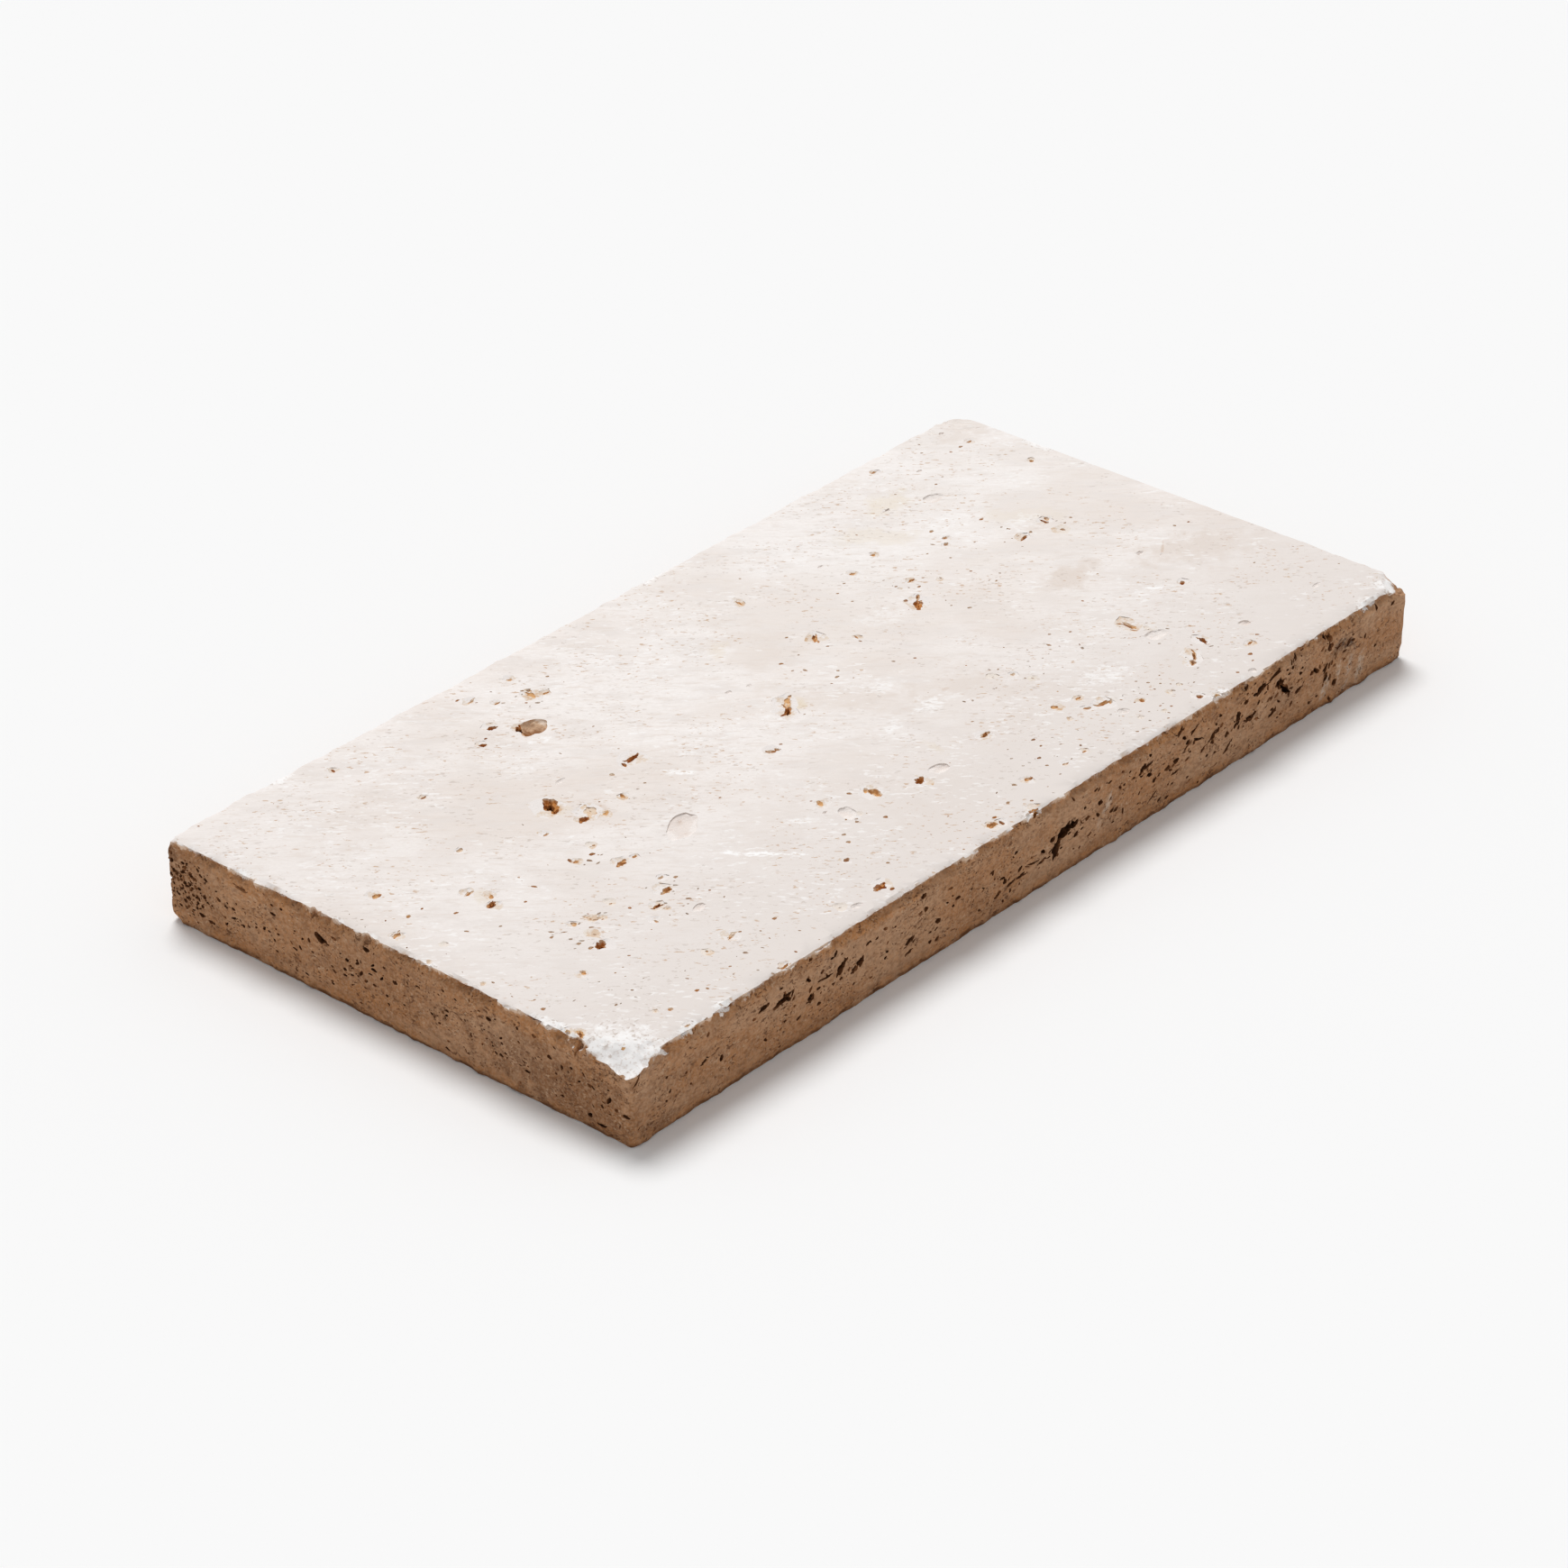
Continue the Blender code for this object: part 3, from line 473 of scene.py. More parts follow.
def easeArrises():
    for name, isTop in (("topArris", True), ("footArris", False)):
        width = sawnBlock[name]
        pick("EDGE", lambda e: isRim(e) and isUpper(e) == isTop)
        bevelEdges(width, sawnBlock["arrisSteps"])
        rings = 2 if isTop else 1
        for _ in range(rings):
            pick("FACE", lambda f: isFlatFace(f) and isUpper(f) == isTop)
            bpy.ops.mesh.inset(thickness=(sawnBlock["ringReach"] - width) / rings * mm, depth=0)


def gridFaces():
    step = sawnBlock["faceGrid"] * mm
    for axis, half in ((0, halfLength), (1, halfWidth)):
        count = round(2 * half / step)
        for i in range(1, count):
            place = Vector((0, 0, 0))
            place[axis] = middle[axis] - half + 2 * half * i / count
            away = Vector((0, 0, 0))
            away[axis] = 1
            pick("FACE", isLevel)
            bpy.ops.mesh.bisect(plane_co=place, plane_no=away)


def cutRows():
    pick("EDGE", lambda e: runsAlong(e, 2, 10))
    bpy.ops.mesh.subdivide(number_cuts=sawnBlock["rows"])


def isBehind(place):
    shareX, shareY = tumbling["behindFrom"]
    return place.x > shareX * halfLength or place.y > shareY * halfWidth


def weighTumbling(block):
    # one group for the walls and one for each arris, which fades out beside it
    groups = {name: block.vertex_groups.new(name=name) for name in ("wall", "top", "foot")}
    for vert in block.data.vertices:
        isTop = vert.co.z > thick / 2
        name = "top" if isTop else "foot"
        arris = sawnBlock[name + "Arris"] * mm
        nearFace = thick - vert.co.z if isTop else vert.co.z
        if abs(vert.normal.z) > tumbling["faceNormal"]:
            inwards = min(halfLength - abs(vert.co.x - middle.x), halfWidth - abs(vert.co.y - middle.y))
            share = 1 - (inwards - arris) / (sawnBlock["ringReach"] * mm - arris)
            weight = tumbling["ringDepth"] * min(1, max(0, share))
        else:
            share = 1 - (nearFace - arris) / (tumbling[name + "Reach"] * mm)
            weight = min(1, max(0, share))
            onWall = 1 if nearFace > arris else tumbling["wallAtArris"]
            groups["wall"].add([vert.index], onWall, "REPLACE")
        if isTop and isBehind(vert.co):
            weight *= tumbling["behind"]
        if weight > 0:
            groups[name].add([vert.index], weight, "REPLACE")


def tumble(block):
    weighTumbling(block)
    for group in ("wall", "top", "foot"):
        for kind in ("Wave", "Grain"):
            patch, depth, contrast = tumbling[group + kind]
            addDisplace(block, group + kind, patch, depth, contrast, group)
    applyAll(block)
    for vert in block.data.vertices:
        # nothing stands out beyond the sawn block
        for axis in range(3):
            vert.co[axis] = min(high[axis], max(low[axis], vert.co[axis]))


# Cutters: rough lumps, modelled once each and copied into place

# Where each face lies: its middle, the way along it, the way across it
faces = {
    "top": (Vector((0, 0, thick)), Vector((1, 0, 0)), Vector((0, 1, 0))),
    "under": (Vector((0, 0, 0)), Vector((1, 0, 0)), Vector((0, -1, 0))),
    "front": (Vector((0, -halfWidth, 0)), Vector((1, 0, 0)), Vector((0, 0, 1))),
    "back": (Vector((0, halfWidth, 0)), Vector((-1, 0, 0)), Vector((0, 0, 1))),
    "near": (Vector((-halfLength, 0, 0)), Vector((0, -1, 0)), Vector((0, 0, 1))),
    "far": (Vector((halfLength, 0, 0)), Vector((0, 1, 0)), Vector((0, 0, 1))),
}
flats = ("top", "under")
ends = ("near", "far")
mirrored = ("near", "back")   # seen from outside, these two run against their axis


def faceMatrix(name, along, across, height=0.0):
    origin, alongAxis, acrossAxis = faces[name]
    outward = alongAxis.cross(acrossAxis)
    axes = Matrix((alongAxis, acrossAxis, outward)).transposed().to_4x4()
    place = origin + alongAxis * along * mm + acrossAxis * across * mm + outward * height * mm
    return Matrix.Translation(place) @ axes


# Rounds of subdivision, how many shapes, patch size and depth of the roughness in radii, up to which length.
# The last one is smooth and only used where it is named
lumpKinds = {
    "tiny": (1, 5, 1.1, 0.8, 1.9),
    "fine": (2, 6, 0.9, 1.0, 3.8),
    "middling": (3, 5, 0.8, 1.1, 9),
    "coarse": (4, 5, 0.6, 1.1, 100),
    "smooth": (4, 3, 1.1, 0.48, 100),
}
lumpContrast = 1.4
lumpMiddle = 0.6       # under 0.5 the roughness would mostly grow a lump, over it mostly shrinks it
lumpsApart = 7.3       # each lump is shaped in another part of the noise, this many radii on
kindsApart = 3.1


def slideMesh(step):
    bpy.ops.object.mode_set(mode="EDIT")
    bpy.ops.mesh.select_all(action="SELECT")
    bpy.ops.transform.translate(value=(step, 0, 0))
    bpy.ops.object.mode_set(mode="OBJECT")


def modelLumps():
    lumps = {}
    for kind, (steps, count, patch, depth, _) in lumpKinds.items():
        lumps[kind] = []
        for i in range(count):
            deselectAll()
            bpy.ops.mesh.primitive_ico_sphere_add(subdivisions=steps, radius=1, location=(0, 0, 0))
            lump = bpy.context.object
            lump.name = f"{kind}Lump{i}"
            away = lumpsApart * i + kindsApart * steps
            slideMesh(away)
            addDisplace(lump, f"{kind}Rough{i}", patch / mm, depth / mm, lumpContrast, "", lumpMiddle)
            applyAll(lump)
            slideMesh(-away)
            lumps[kind].append(lump)
    return lumps


def cutterCollection(name):
    collection = bpy.data.collections.new(name)
    bpy.context.scene.collection.children.link(collection)
    return collection


def placeLump(collection, lump, matrix, material):
    cutter = lump.copy()
    cutter.data = lump.data.copy()
    cutter.data.materials.clear()
    cutter.data.materials.append(material)
    cutter.matrix_world = matrix
    cutter.hide_render = True
    cutter.display_type = "WIRE"
    collection.objects.link(cutter)


def lumpFor(lumps, rng, length):
    for kind, (*_, upTo) in lumpKinds.items():
        if length <= upTo:
            return rng.choice(lumps[kind])


def addPit(collection, lumps, rng, face, pit, material, lumpKind=None):
    along, across, length, width, depth, turn = pit
    if face in mirrored:
        along = -along
        turn = -turn
    size = Matrix.Diagonal((length * mm / 2, width * mm / 2, depth * mm, 1))
    spin = Matrix.Rotation(math.radians(turn), 4, "Z")
    lump = rng.choice(lumps[lumpKind]) if lumpKind else lumpFor(lumps, rng, length)
    placeLump(collection, lump, faceMatrix(face, along, across) @ spin @ size, material)


def spread(rng, name):
    return rng.uniform(-pitCompany[name], pitCompany[name])


def addSmallOnes(collection, lumps, rng, face, pit, material):
    # a larger pit has smaller ones at its ends
    along, across, length, width, depth, turn = pit
    for end in (-1, 1):
        reach = end * length * rng.uniform(*pitCompany["smallAway"])
        towards = math.radians(turn + spread(rng, "smallSwing"))
        share = rng.uniform(*pitCompany["smallSize"])
        small = (
            along + reach * math.cos(towards), across + reach * math.sin(towards),
            length * share, width * share, depth * share, turn + spread(rng, "smallTurn"),
        )
        addPit(collection, lumps, rng, face, small, material)


def addHalo(collection, lumps, rng, pit, material):
    # a shallow, slightly stained dip round a pit of the top
    along, across, length, width, _, turn = pit
    along += spread(rng, "haloAway") * width
    across += spread(rng, "haloAway") * width
    halfLong = pitCompany["haloLength"] * length * mm
    halfSize = (halfLong, (length + width) / 2 * mm, pitCompany["haloDepth"] * mm, 1)
    spin = Matrix.Rotation(math.radians(turn + spread(rng, "haloTurn")), 4, "Z")
    place = faceMatrix("top", along, across) @ spin @ Matrix.Diagonal(halfSize)
    placeLump(collection, rng.choice(lumps["fine"]), place, material)


def liningFor(linings, face, kind):
    return linings[kind + ("Face" if face in flats else "Wall")]


def addHandPits(collection, lumps, linings):
    rng = random.Random(pores["seed"])
    for face, pits in (("top", topPits), ("front", frontPits), ("near", nearPits)):
        for kind, rows in pits.items():
            lining = liningFor(linings, face, kind)
            for pit in rows:
                length = pit[2]
                isDip = kind in ("pale", "oval")
                isSmooth = isDip and length > pitCompany["smoothFrom"]
                addPit(collection, lumps, rng, face, pit, lining, "smooth" if isSmooth else None)
                if not isDip and length > pitCompany["smallFrom"]:
                    addSmallOnes(collection, lumps, rng, face, pit, lining)
                if not isDip and length > pitCompany["haloFrom"] and face == "top":
                    addHalo(collection, lumps, rng, pit, linings["haloFace"])


def faceReach(face):
    # how far pores go along a face, and their lowest and highest place across it
    along = halfWidth if face in ends else halfLength
    foot, head = (-halfWidth, halfWidth) if face in flats else (0, thick)
    gap = pores["endGap"]
    return along / mm - gap, foot / mm + pores["footGap"], head / mm - gap


def randomPit(rng, face, shortest, longest):
    along, foot, head = faceReach(face)
    length = shortest + (longest - shortest) * rng.random() ** pores["smallness"]
    width = length * rng.uniform(*pores["flatness"])
    depth = length * rng.uniform(*pores["depth"]) * (pores["topDepth"] if face == "top" else 1)
    turn = rng.gauss(pores["faceTurn" if face in flats else "wallTurn"], pores["turnSpread"])
    return rng.uniform(-along, along), rng.uniform(foot, head), length, width, depth, turn


def addPores(collection, lumps, linings):
    rng = random.Random(pores["seed"] + 1)
    for face in faces:
        count, shortest, longest = pores[face]
        for _ in range(count):
            warmShare = pores["warmOnFace" if face in flats else "warmOnWall"]
            kind = "warm" if rng.random() < warmShare else "dark"
            pit = randomPit(rng, face, shortest, longest)
            addPit(collection, lumps, rng, face, pit, liningFor(linings, face, kind))
    for face in ("back", "far", "under"):
        count, shortest, longest = hiddenPits[face]
        for _ in range(count):
            pit = randomPit(rng, face, shortest, longest)
            kind = rng.choice(("dark", "warm", "warm")) if face == "under" else "dark"
            lining = liningFor(linings, face, kind)
            addPit(collection, lumps, rng, face, pit, lining)
            if pit[2] > pitCompany["smallFrom"]:
                addSmallOnes(collection, lumps, rng, face, pit, lining)
    for x, y in topDots:
        length = rng.uniform(*dotLength)
        width = length * rng.uniform(*dotFlatness)
        pit = (x, y, length, width, length * dotDepth, rng.gauss(pores["faceTurn"], pores["turnSpread"]))
        addPit(collection, lumps, rng, "top", pit, linings["warmFace"])


def thicketPit(rng, face, row):
    along, across, reachAlong, reachAcross, _, shortest, longest, turn, flattest = row
    rules = thicketRules
    edge = (halfWidth if face in ends else halfLength) / mm
    foot, head = (-halfWidth / mm, halfWidth / mm) if face in flats else rules["onWall"]
    x = min(edge - rules["edgeGap"], max(-edge, rng.gauss(along, reachAlong * rules["spread"])))
    y = min(head, max(foot, rng.gauss(across, reachAcross * rules["spread"])))
    length = shortest + (longest - shortest) * rng.random() ** rules["smallness"]
    widest, aboveFlattest = rules["widest"]
    width = length * rng.uniform(flattest, max(widest, aboveFlattest * flattest))
    depth = length * rng.uniform(*pores["depth"]) * (1 if face in flats else rules["wallDepth"])
    share = rng.random()
    if face in flats:
        kind = "faint" if share < rules["faintOnFace"] else "warm"
    else:
        kind = "warm" if share < rules["warmOnWall"] else "dark"
    return (x, y, length, width, depth, rng.gauss(turn, rules["turnSpread"])), kind


def addThickets(collection, lumps, linings):
    rng = random.Random(pores["seed"] + 2)
    grow = thicketRules["haloSize"]
    for face, rows in thickets.items():
        for row in rows:
            count, turn = row[4], row[7]
            for _ in range(count):
                pit, kind = thicketPit(rng, face, row)
                addPit(collection, lumps, rng, face, pit, liningFor(linings, face, kind))
                if face == "top" and rng.random() < thicketRules["haloShare"]:
                    x, y, length, width, depth, _ = pit
                    wide = (x, y, grow * length, grow * width, depth, turn)
                    addHalo(collection, lumps, rng, wide, linings["faintFace"])


# The lump that takes a chip off: how far it stands away and its radius, as shares of the chip's reach,
# and half its length as a share of the chip's
chipLump = {"away": 1.3, "radius": 2.5, "halfLength": 0.66}


def addChips(collection, lumps, stone):
    # a large lump that stands off the arris takes a shallow slope off it
    rng = random.Random(pores["seed"] + 3)
    for edge, rows in chips.items():
        face = edge.replace("Top", "").replace("Foot", "")
        rise = 1 if edge.endswith("Top") else -1
        for along, length, inward, down in rows:
            side = -along if face in mirrored else along
            height = (thick / mm if rise > 0 else 0) + rise * chipLump["away"] * down
            place = faceMatrix(face, side, height, chipLump["away"] * inward)
            radius = chipLump["radius"]
            halfSize = (length * mm * chipLump["halfLength"], radius * down * mm, radius * inward * mm, 1)
            kind = "coarse" if edge in ("frontTop", "nearTop") else "middling"
            placeLump(collection, rng.choice(lumps[kind]), place @ Matrix.Diagonal(halfSize), stone)


# The block that takes a worn corner off: its side and depth as shares of reach and drop, how long its
# facets are, and the two layers of its roughness as patch size, depth and contrast
cornerBlock = {
    "side": 2.4,
    "depth": 3,
    "facet": 1.1,
    "fewestCuts": 8,
    "wave": (6, 2.2, 1.5),
    "grain": (1.8, 0.9, 1.6),
}


def addWornCorners(collection, stone):
    # a subdivided block with rough sides takes each slope off
    for i, (sideX, sideY, sideZ, reachX, reachY, drop) in enumerate(wornCorners):
        corner = Vector((sideX * halfLength, sideY * halfWidth, thick if sideZ > 0 else 0))
        onX = corner - Vector((sideX * reachX * mm, 0, 0))
        onY = corner - Vector((0, sideY * reachY * mm, 0))
        worn = corner - Vector((0, 0, sideZ * drop * mm))
        away = (onX - worn).cross(onY - worn).normalized()
        if away.z * sideZ < 0:
            away.negate()
        side = cornerBlock["side"] * max(reachX, reachY) * mm
        depth = cornerBlock["depth"] * drop * mm
        cuts = max(cornerBlock["fewestCuts"], round(side / (cornerBlock["facet"] * mm)))
        deselectAll()
        bpy.ops.mesh.primitive_cube_add(size=1, location=(0, 0, 0))
        cutter = bpy.context.object
        cutter.name = f"cornerCutter{i}"
        bpy.ops.object.mode_set(mode="EDIT")
        bpy.ops.mesh.select_all(action="SELECT")
        bpy.ops.mesh.subdivide(number_cuts=cuts)
        bpy.ops.object.mode_set(mode="OBJECT")
        cutter.matrix_world = (
            Matrix.Translation(worn) @ away.to_track_quat("Z", "Y").to_matrix().to_4x4()
            @ Matrix.Diagonal((side, side, depth, 1)) @ Matrix.Translation((0, 0, 0.5))
        )
        bpy.ops.object.transform_apply(location=True, rotation=True, scale=True)
        for kind in ("wave", "grain"):
            patch, roughness, contrast = cornerBlock[kind]
            addDisplace(cutter, f"{kind}Slope{i}", patch, roughness, contrast, "", midLevel=0.5)
        applyAll(cutter)
        cutter.data.materials.append(stone)
        cutter.hide_render = True
        for home in list(cutter.users_collection):
            home.objects.unlink(cutter)
        collection.objects.link(cutter)


def cutWith(block, collection):
    modifier = block.modifiers.new("carve", "BOOLEAN")
    modifier.operation = "DIFFERENCE"
    modifier.operand_type = "COLLECTION"
    modifier.collection = collection
    modifier.solver = "MANIFOLD"
    modifier.material_mode = "TRANSFER"
    applyAll(block)
    for cutter in list(collection.objects):
        bpy.data.objects.remove(cutter, do_unlink=True)
    bpy.data.collections.remove(collection)


def dropCrumbs(block):
    # bits that the pits cut loose all round would float, so only what hangs on the flat faces stays
    activate(block)
    pick("FACE", lambda f: f.calc_area() > sawnBlock["crumbArea"] * mm * mm)
    bpy.ops.mesh.select_linked()
    bpy.ops.mesh.select_all(action="INVERT")
    bpy.ops.mesh.delete(type="VERT")
    bpy.ops.object.mode_set(mode="OBJECT")


# Materials

# The node tree that is being made, and its Object coordinates
bench = {"tree": None, "place": None}
lowShine = 0.15   # stone and paper are dull
noiseGrain = 0.6


def connect(node, values):
    # each value is a number or colour, or the output that feeds it
    for name, value in values.items():
        if isinstance(value, bpy.types.NodeSocket):
            bench["tree"].links.new(value, node.inputs[name])
        else:
            node.inputs[name].default_value = value


def addNode(kind, values=None, **settings):
    node = bench["tree"].nodes.new(kind)
    for name, value in settings.items():
        setattr(node, name, value)
    connect(node, values or {})
    return node


def newMaterial(name, roughness):
    material = bpy.data.materials.new(name)
    material.use_nodes = True
    bench["tree"] = material.node_tree
    shader = bench["tree"].nodes["Principled BSDF"]
    connect(shader, {"Roughness": roughness, "Specular IOR Level": lowShine})
    return material, shader


def objectPlace():
    bench["place"] = addNode("ShaderNodeTexCoord").outputs["Object"]
    return addNode("ShaderNodeSeparateXYZ", {0: bench["place"]}).outputs


def calc(operation, first, second=0.0, third=0.0):
    values = {0: first, 1: second, 2: third}
    return addNode("ShaderNodeMath", values, operation=operation).outputs[0]


def times(first, second):
    return calc("MULTIPLY", first, second)


def fade(value, start, end):
    # 0 at start, 1 at end, smooth between them
    values = {"Value": value, "From Min": start, "From Max": end, "To Min": 0.0, "To Max": 1.0}
    return addNode("ShaderNodeMapRange", values, interpolation_type="SMOOTHSTEP").outputs["Result"]


def mixColour(share, first, second):
    return addNode("ShaderNodeMix", {0: share, 6: first, 7: second}, data_type="RGBA").outputs[2]


def tint(colour, share, strength, other):
    # mixes the other colour in, to this strength where the share is 1
    return mixColour(times(share, strength), colour, other)


def movedPlace(location, rotation, scale):
    values = {"Vector": bench["place"], "Location": location, "Rotation": rotation, "Scale": scale}
    return addNode("ShaderNodeMapping", values, vector_type="TEXTURE").outputs[0]


def mottle(size, detail=3.0, stretch=(1, 1, 1), turn=0, away=0):
    # noise with patches of this many millimetres, drawn out along axes that are turned about Z
    moved = movedPlace((away * mm, 0, 0), (0, 0, math.radians(turn)), [size * mm * s for s in stretch])
    values = {"Vector": moved, "Scale": 1.0, "Detail": detail, "Roughness": noiseGrain}
    return addNode("ShaderNodeTexNoise", values).outputs["Fac"]


def swing(noise, reach):
    # from -reach to reach
    return calc("MULTIPLY_ADD", noise, 2 * reach, -reach)


def blot(wobble, centre, size, turn=(0, 0, 0)):
    # 1 in the middle of a ragged oval of this size in millimetres, 0 outside it
    reach = 2.3   # the ball of the gradient is this much larger than the oval
    turned = [math.radians(a) for a in turn]
    moved = movedPlace([c * mm for c in centre], turned, [reach * s * mm / 2 for s in size])
    ball = addNode("ShaderNodeTexGradient", {"Vector": moved}, gradient_type="SPHERICAL")
    away = calc("MULTIPLY_ADD", ball.outputs["Fac"], -reach, reach)
    return fade(calc("ADD", away, wobble), 1.0, 0.35)


def marks(size, rarity, clusterSize, away, stretch, turn=0):
    # small irregular marks that gather in clusters
    each = mottle(size, 2, stretch, turn, away)
    cluster = mottle(clusterSize, 2, away=away + 40)
    return times(fade(each, rarity, rarity + 0.06), fade(cluster, 0.46, 0.60))


def bumpFrom(height, distance, strength):
    values = {"Height": height, "Distance": distance * mm, "Strength": strength}
    return addNode("ShaderNodeBump", values).outputs[0]


def tintPatches(colour, rows, look, turn=0):
    for name, size, detail, stretch, away, start, end, strength in rows:
        patches = fade(mottle(size, detail, stretch, turn, away), start, end)
        colour = tint(colour, patches, strength, look[name])
    return colour


# Colours of the two faces, linear
faceColours = {
    "cream": (0.925, 0.873, 0.843, 1),
    "beige": (0.755, 0.655, 0.585, 1),
    "dustyAndShaded": (0.785, 0.722, 0.684, 1),
    "white": (0.98, 0.965, 0.955, 1),
    "yellow": (0.79, 0.665, 0.490, 1),
    "tan": (0.58, 0.385, 0.245, 1),
    "grey": (0.53, 0.445, 0.385, 1),
    "crumb": (0.62, 0.49, 0.425, 1),
    "lip": (0.70, 0.47, 0.305, 1),
    "warmWhite": (0.93, 0.845, 0.775, 1),
}

layerTurn = -47   # the layers of the stone lie this way on the top

# Patches in the order that they are mixed in: colour, size, detail, stretch, offset in the noise, the level
# of the noise at which they start and are full, strength
facePatches = {
    "underClouds": [
        ("beige", 44, 3, (1.6, 1, 1), 0, 0.40, 0.66, 0.6),
        ("dustyAndShaded", 7, 4, (2.2, 0.9, 1), 0, 0.45, 0.68, 0.6),
        ("beige", 2.6, 4, (3, 0.6, 1), 15, 0.50, 0.68, 0.5),
    ],
    "overClouds": [("dustyAndShaded", 0.9, 3, (1.8, 0.8, 1), 0, 0.35, 0.65, 0.35)],
}

# Painted shade and light of the top: how much duller and darker it gets towards the front and the near end,
# and how much whiter behind
paintedTopShading = {"front": 0.9, "nearEnd": 0.3, "behind": 0.16}

# Small marks of the faces: size, rarity, size of a cluster, offset, stretch, strength
faceMarks = {
    "white": (2.0, 0.58, 20, 90, (2.0, 0.7, 1), 0.5),
    "grey": (1.7, 0.61, 18, 160, (1.8, 0.8, 1), 0.5),
    "tan": (1.4, 0.62, 20, 230, (1.8, 0.8, 1), 0.75),
}
cloudHeight = 20   # clouds and streaks of the top reach through its worn arrises

# Clouds of the top: colour, x, y, length, width, turn, strength
faceClouds = [
    ("beige", 14, 38, 46, 34, 60, 0.45), ("yellow", 6, 47, 20, 8, 30, 0.3),
    ("beige", -26, -78, 70, 34, 8, 0.8),
    ("beige", 126, -11, 34, 20, -10, 0.85), ("beige", 170, -30, 56, 30, -25, 0.8),
    ("beige", 177, -31, 24, 17, -50, 0.6), ("beige", 127, -8, 16, 9, -50, 0.6),
    ("yellow", 102, 61, 16, 40, 40, 0.35), ("beige", 48, -39, 64, 20, -50, 0.6),
    ("beige", 7, -5, 60, 22, -50, 0.45), ("yellow", 150, 30, 40, 14, -50, 0.25),
    ("beige", 190, 90, 34, 26, 0, 0.7), ("yellow", 126, 72, 28, 16, 10, 0.5),
    ("beige", 60, -60, 64, 28, -12, 0.6), ("beige", -68, -40, 60, 30, 30, 0.3),
    ("beige", -150, 60, 60, 30, 20, 0.3), ("beige", 40, -24, 50, 24, 0, 0.4),
    ("yellow", -6, 4, 16, 10, 35, 0.85), ("tan", -9, 3.5, 10, 5, 35, 0.6),
    ("tan", -98, 7, 12, 9, 20, 0.35), ("yellow", -104, 18, 12, 8, 50, 0.4),
    ("yellow", -160, -1, 10, 7, 60, 0.5), ("tan", -116, -20, 8, 5, 15, 0.4),
    ("yellow", -67, 22, 11, 6, 10, 0.5), ("tan", 52.5, -71.5, 8, 1.6, 45, 0.7),
    ("yellow", 64, -73, 12, 6, -10, 0.8), ("yellow", 32, -89, 10, 2.2, 10, 0.9),
    ("yellow", 45, -81, 7, 1.8, -18, 0.9), ("yellow", 4, -49, 5, 12, 0, 0.7),
    ("yellow", 61, -45, 5, 4, 0, 0.8), ("tan", 36, -27, 5, 3, 0, 0.4),
    ("tan", 23, -25, 4, 3, 0, 0.5), ("tan", 163, -21, 13, 1.3, 35, 0.6),
    ("yellow", 111.5, -57, 11, 9, 0, 0.9), ("yellow", 111, -46, 5, 11, 0, 0.8),
    ("yellow", 107, -76, 12, 5, 40, 0.7), ("tan", -189, -98, 14, 4, 0, 0.4),
    ("yellow", -126, -74, 9, 4, 10, 0.6), ("yellow", -119, -40, 10, 6, 25, 0.5),
]

# White streaks of the top: x, y, length, width, turn, strength
whiteStreaks = [
    (-77, 52, 12, 4, -30, 0.9), (-63, 4, 18, 4.5, -50, 1), (-82.5, -51, 34, 4, -52, 1),
    (-52, 10, 9, 4, -40, 0.7), (125, 47, 22, 11, 20, 0.45), (145, 28, 20, 11, 0, 0.45),
    (25, -30, 20, 12, 0, 0.7), (23, -10, 14, 9, 0, 0.55), (131.5, -14, 9, 4, -20, 0.6),
    (136.5, -37, 10, 5, -30, 0.9), (5, -30, 16, 7, 20, 0.6), (78, -62, 26, 12, -20, 0.6),
    (-60, -46, 14, 5, -50, 0.6), (60, 20, 24, 12, -30, 0.4),
]

# Colours of the walls, linear. They are much darker and browner than those of the top: partly the stone's
# own tone, partly painted shade of the walls
wallColours = {
    "brown": (0.425, 0.199, 0.085, 1),
    "greyish": (0.490, 0.272, 0.148, 1),
    "orange": (0.510, 0.218, 0.074, 1),
    "dark": (0.135, 0.056, 0.023, 1),
    "lip": (0.560, 0.365, 0.230, 1),
    "stain": (0.060, 0.040, 0.030, 1),
    "streak": (0.640, 0.500, 0.390, 1),
}

# Bands of the walls: where each starts and is full, in millimetres from the top or from the foot. The third
# is painted contact shadow, dark along the very foot
wallBands = {"top": (5, 0.5), "foot": (6, 1), "paintedFootShadow": (1.9, 0.6)}

# Patches and small marks of the walls, as those of the faces. The last of the marks are light ones, painted
# highlights on the rims of pits
wallPatches = [
    ("dark", 5, 5, (1.4, 1.4, 0.8), 51, 0.44, 0.68, 0.27),
    ("lip", 0.9, 3, (1, 1, 1), 0, 0.38, 0.66, 0.38),
    ("dark", 1.6, 4, (1.3, 1.3, 0.8), 64, 0.46, 0.64, 0.36),
]
wallMarks = {
    "specks": (1.3, 0.57, 11, 120, (1.5, 1.5, 0.8)),
    "dots": (0.8, 0.60, 16, 190, (1.2, 1.2, 0.9)),
    "paintedLipHighlights": (1.2, 0.59, 9, 300, (1.3, 1.3, 0.8)),
}
brokenStains = ("streak", "lip", "stain")
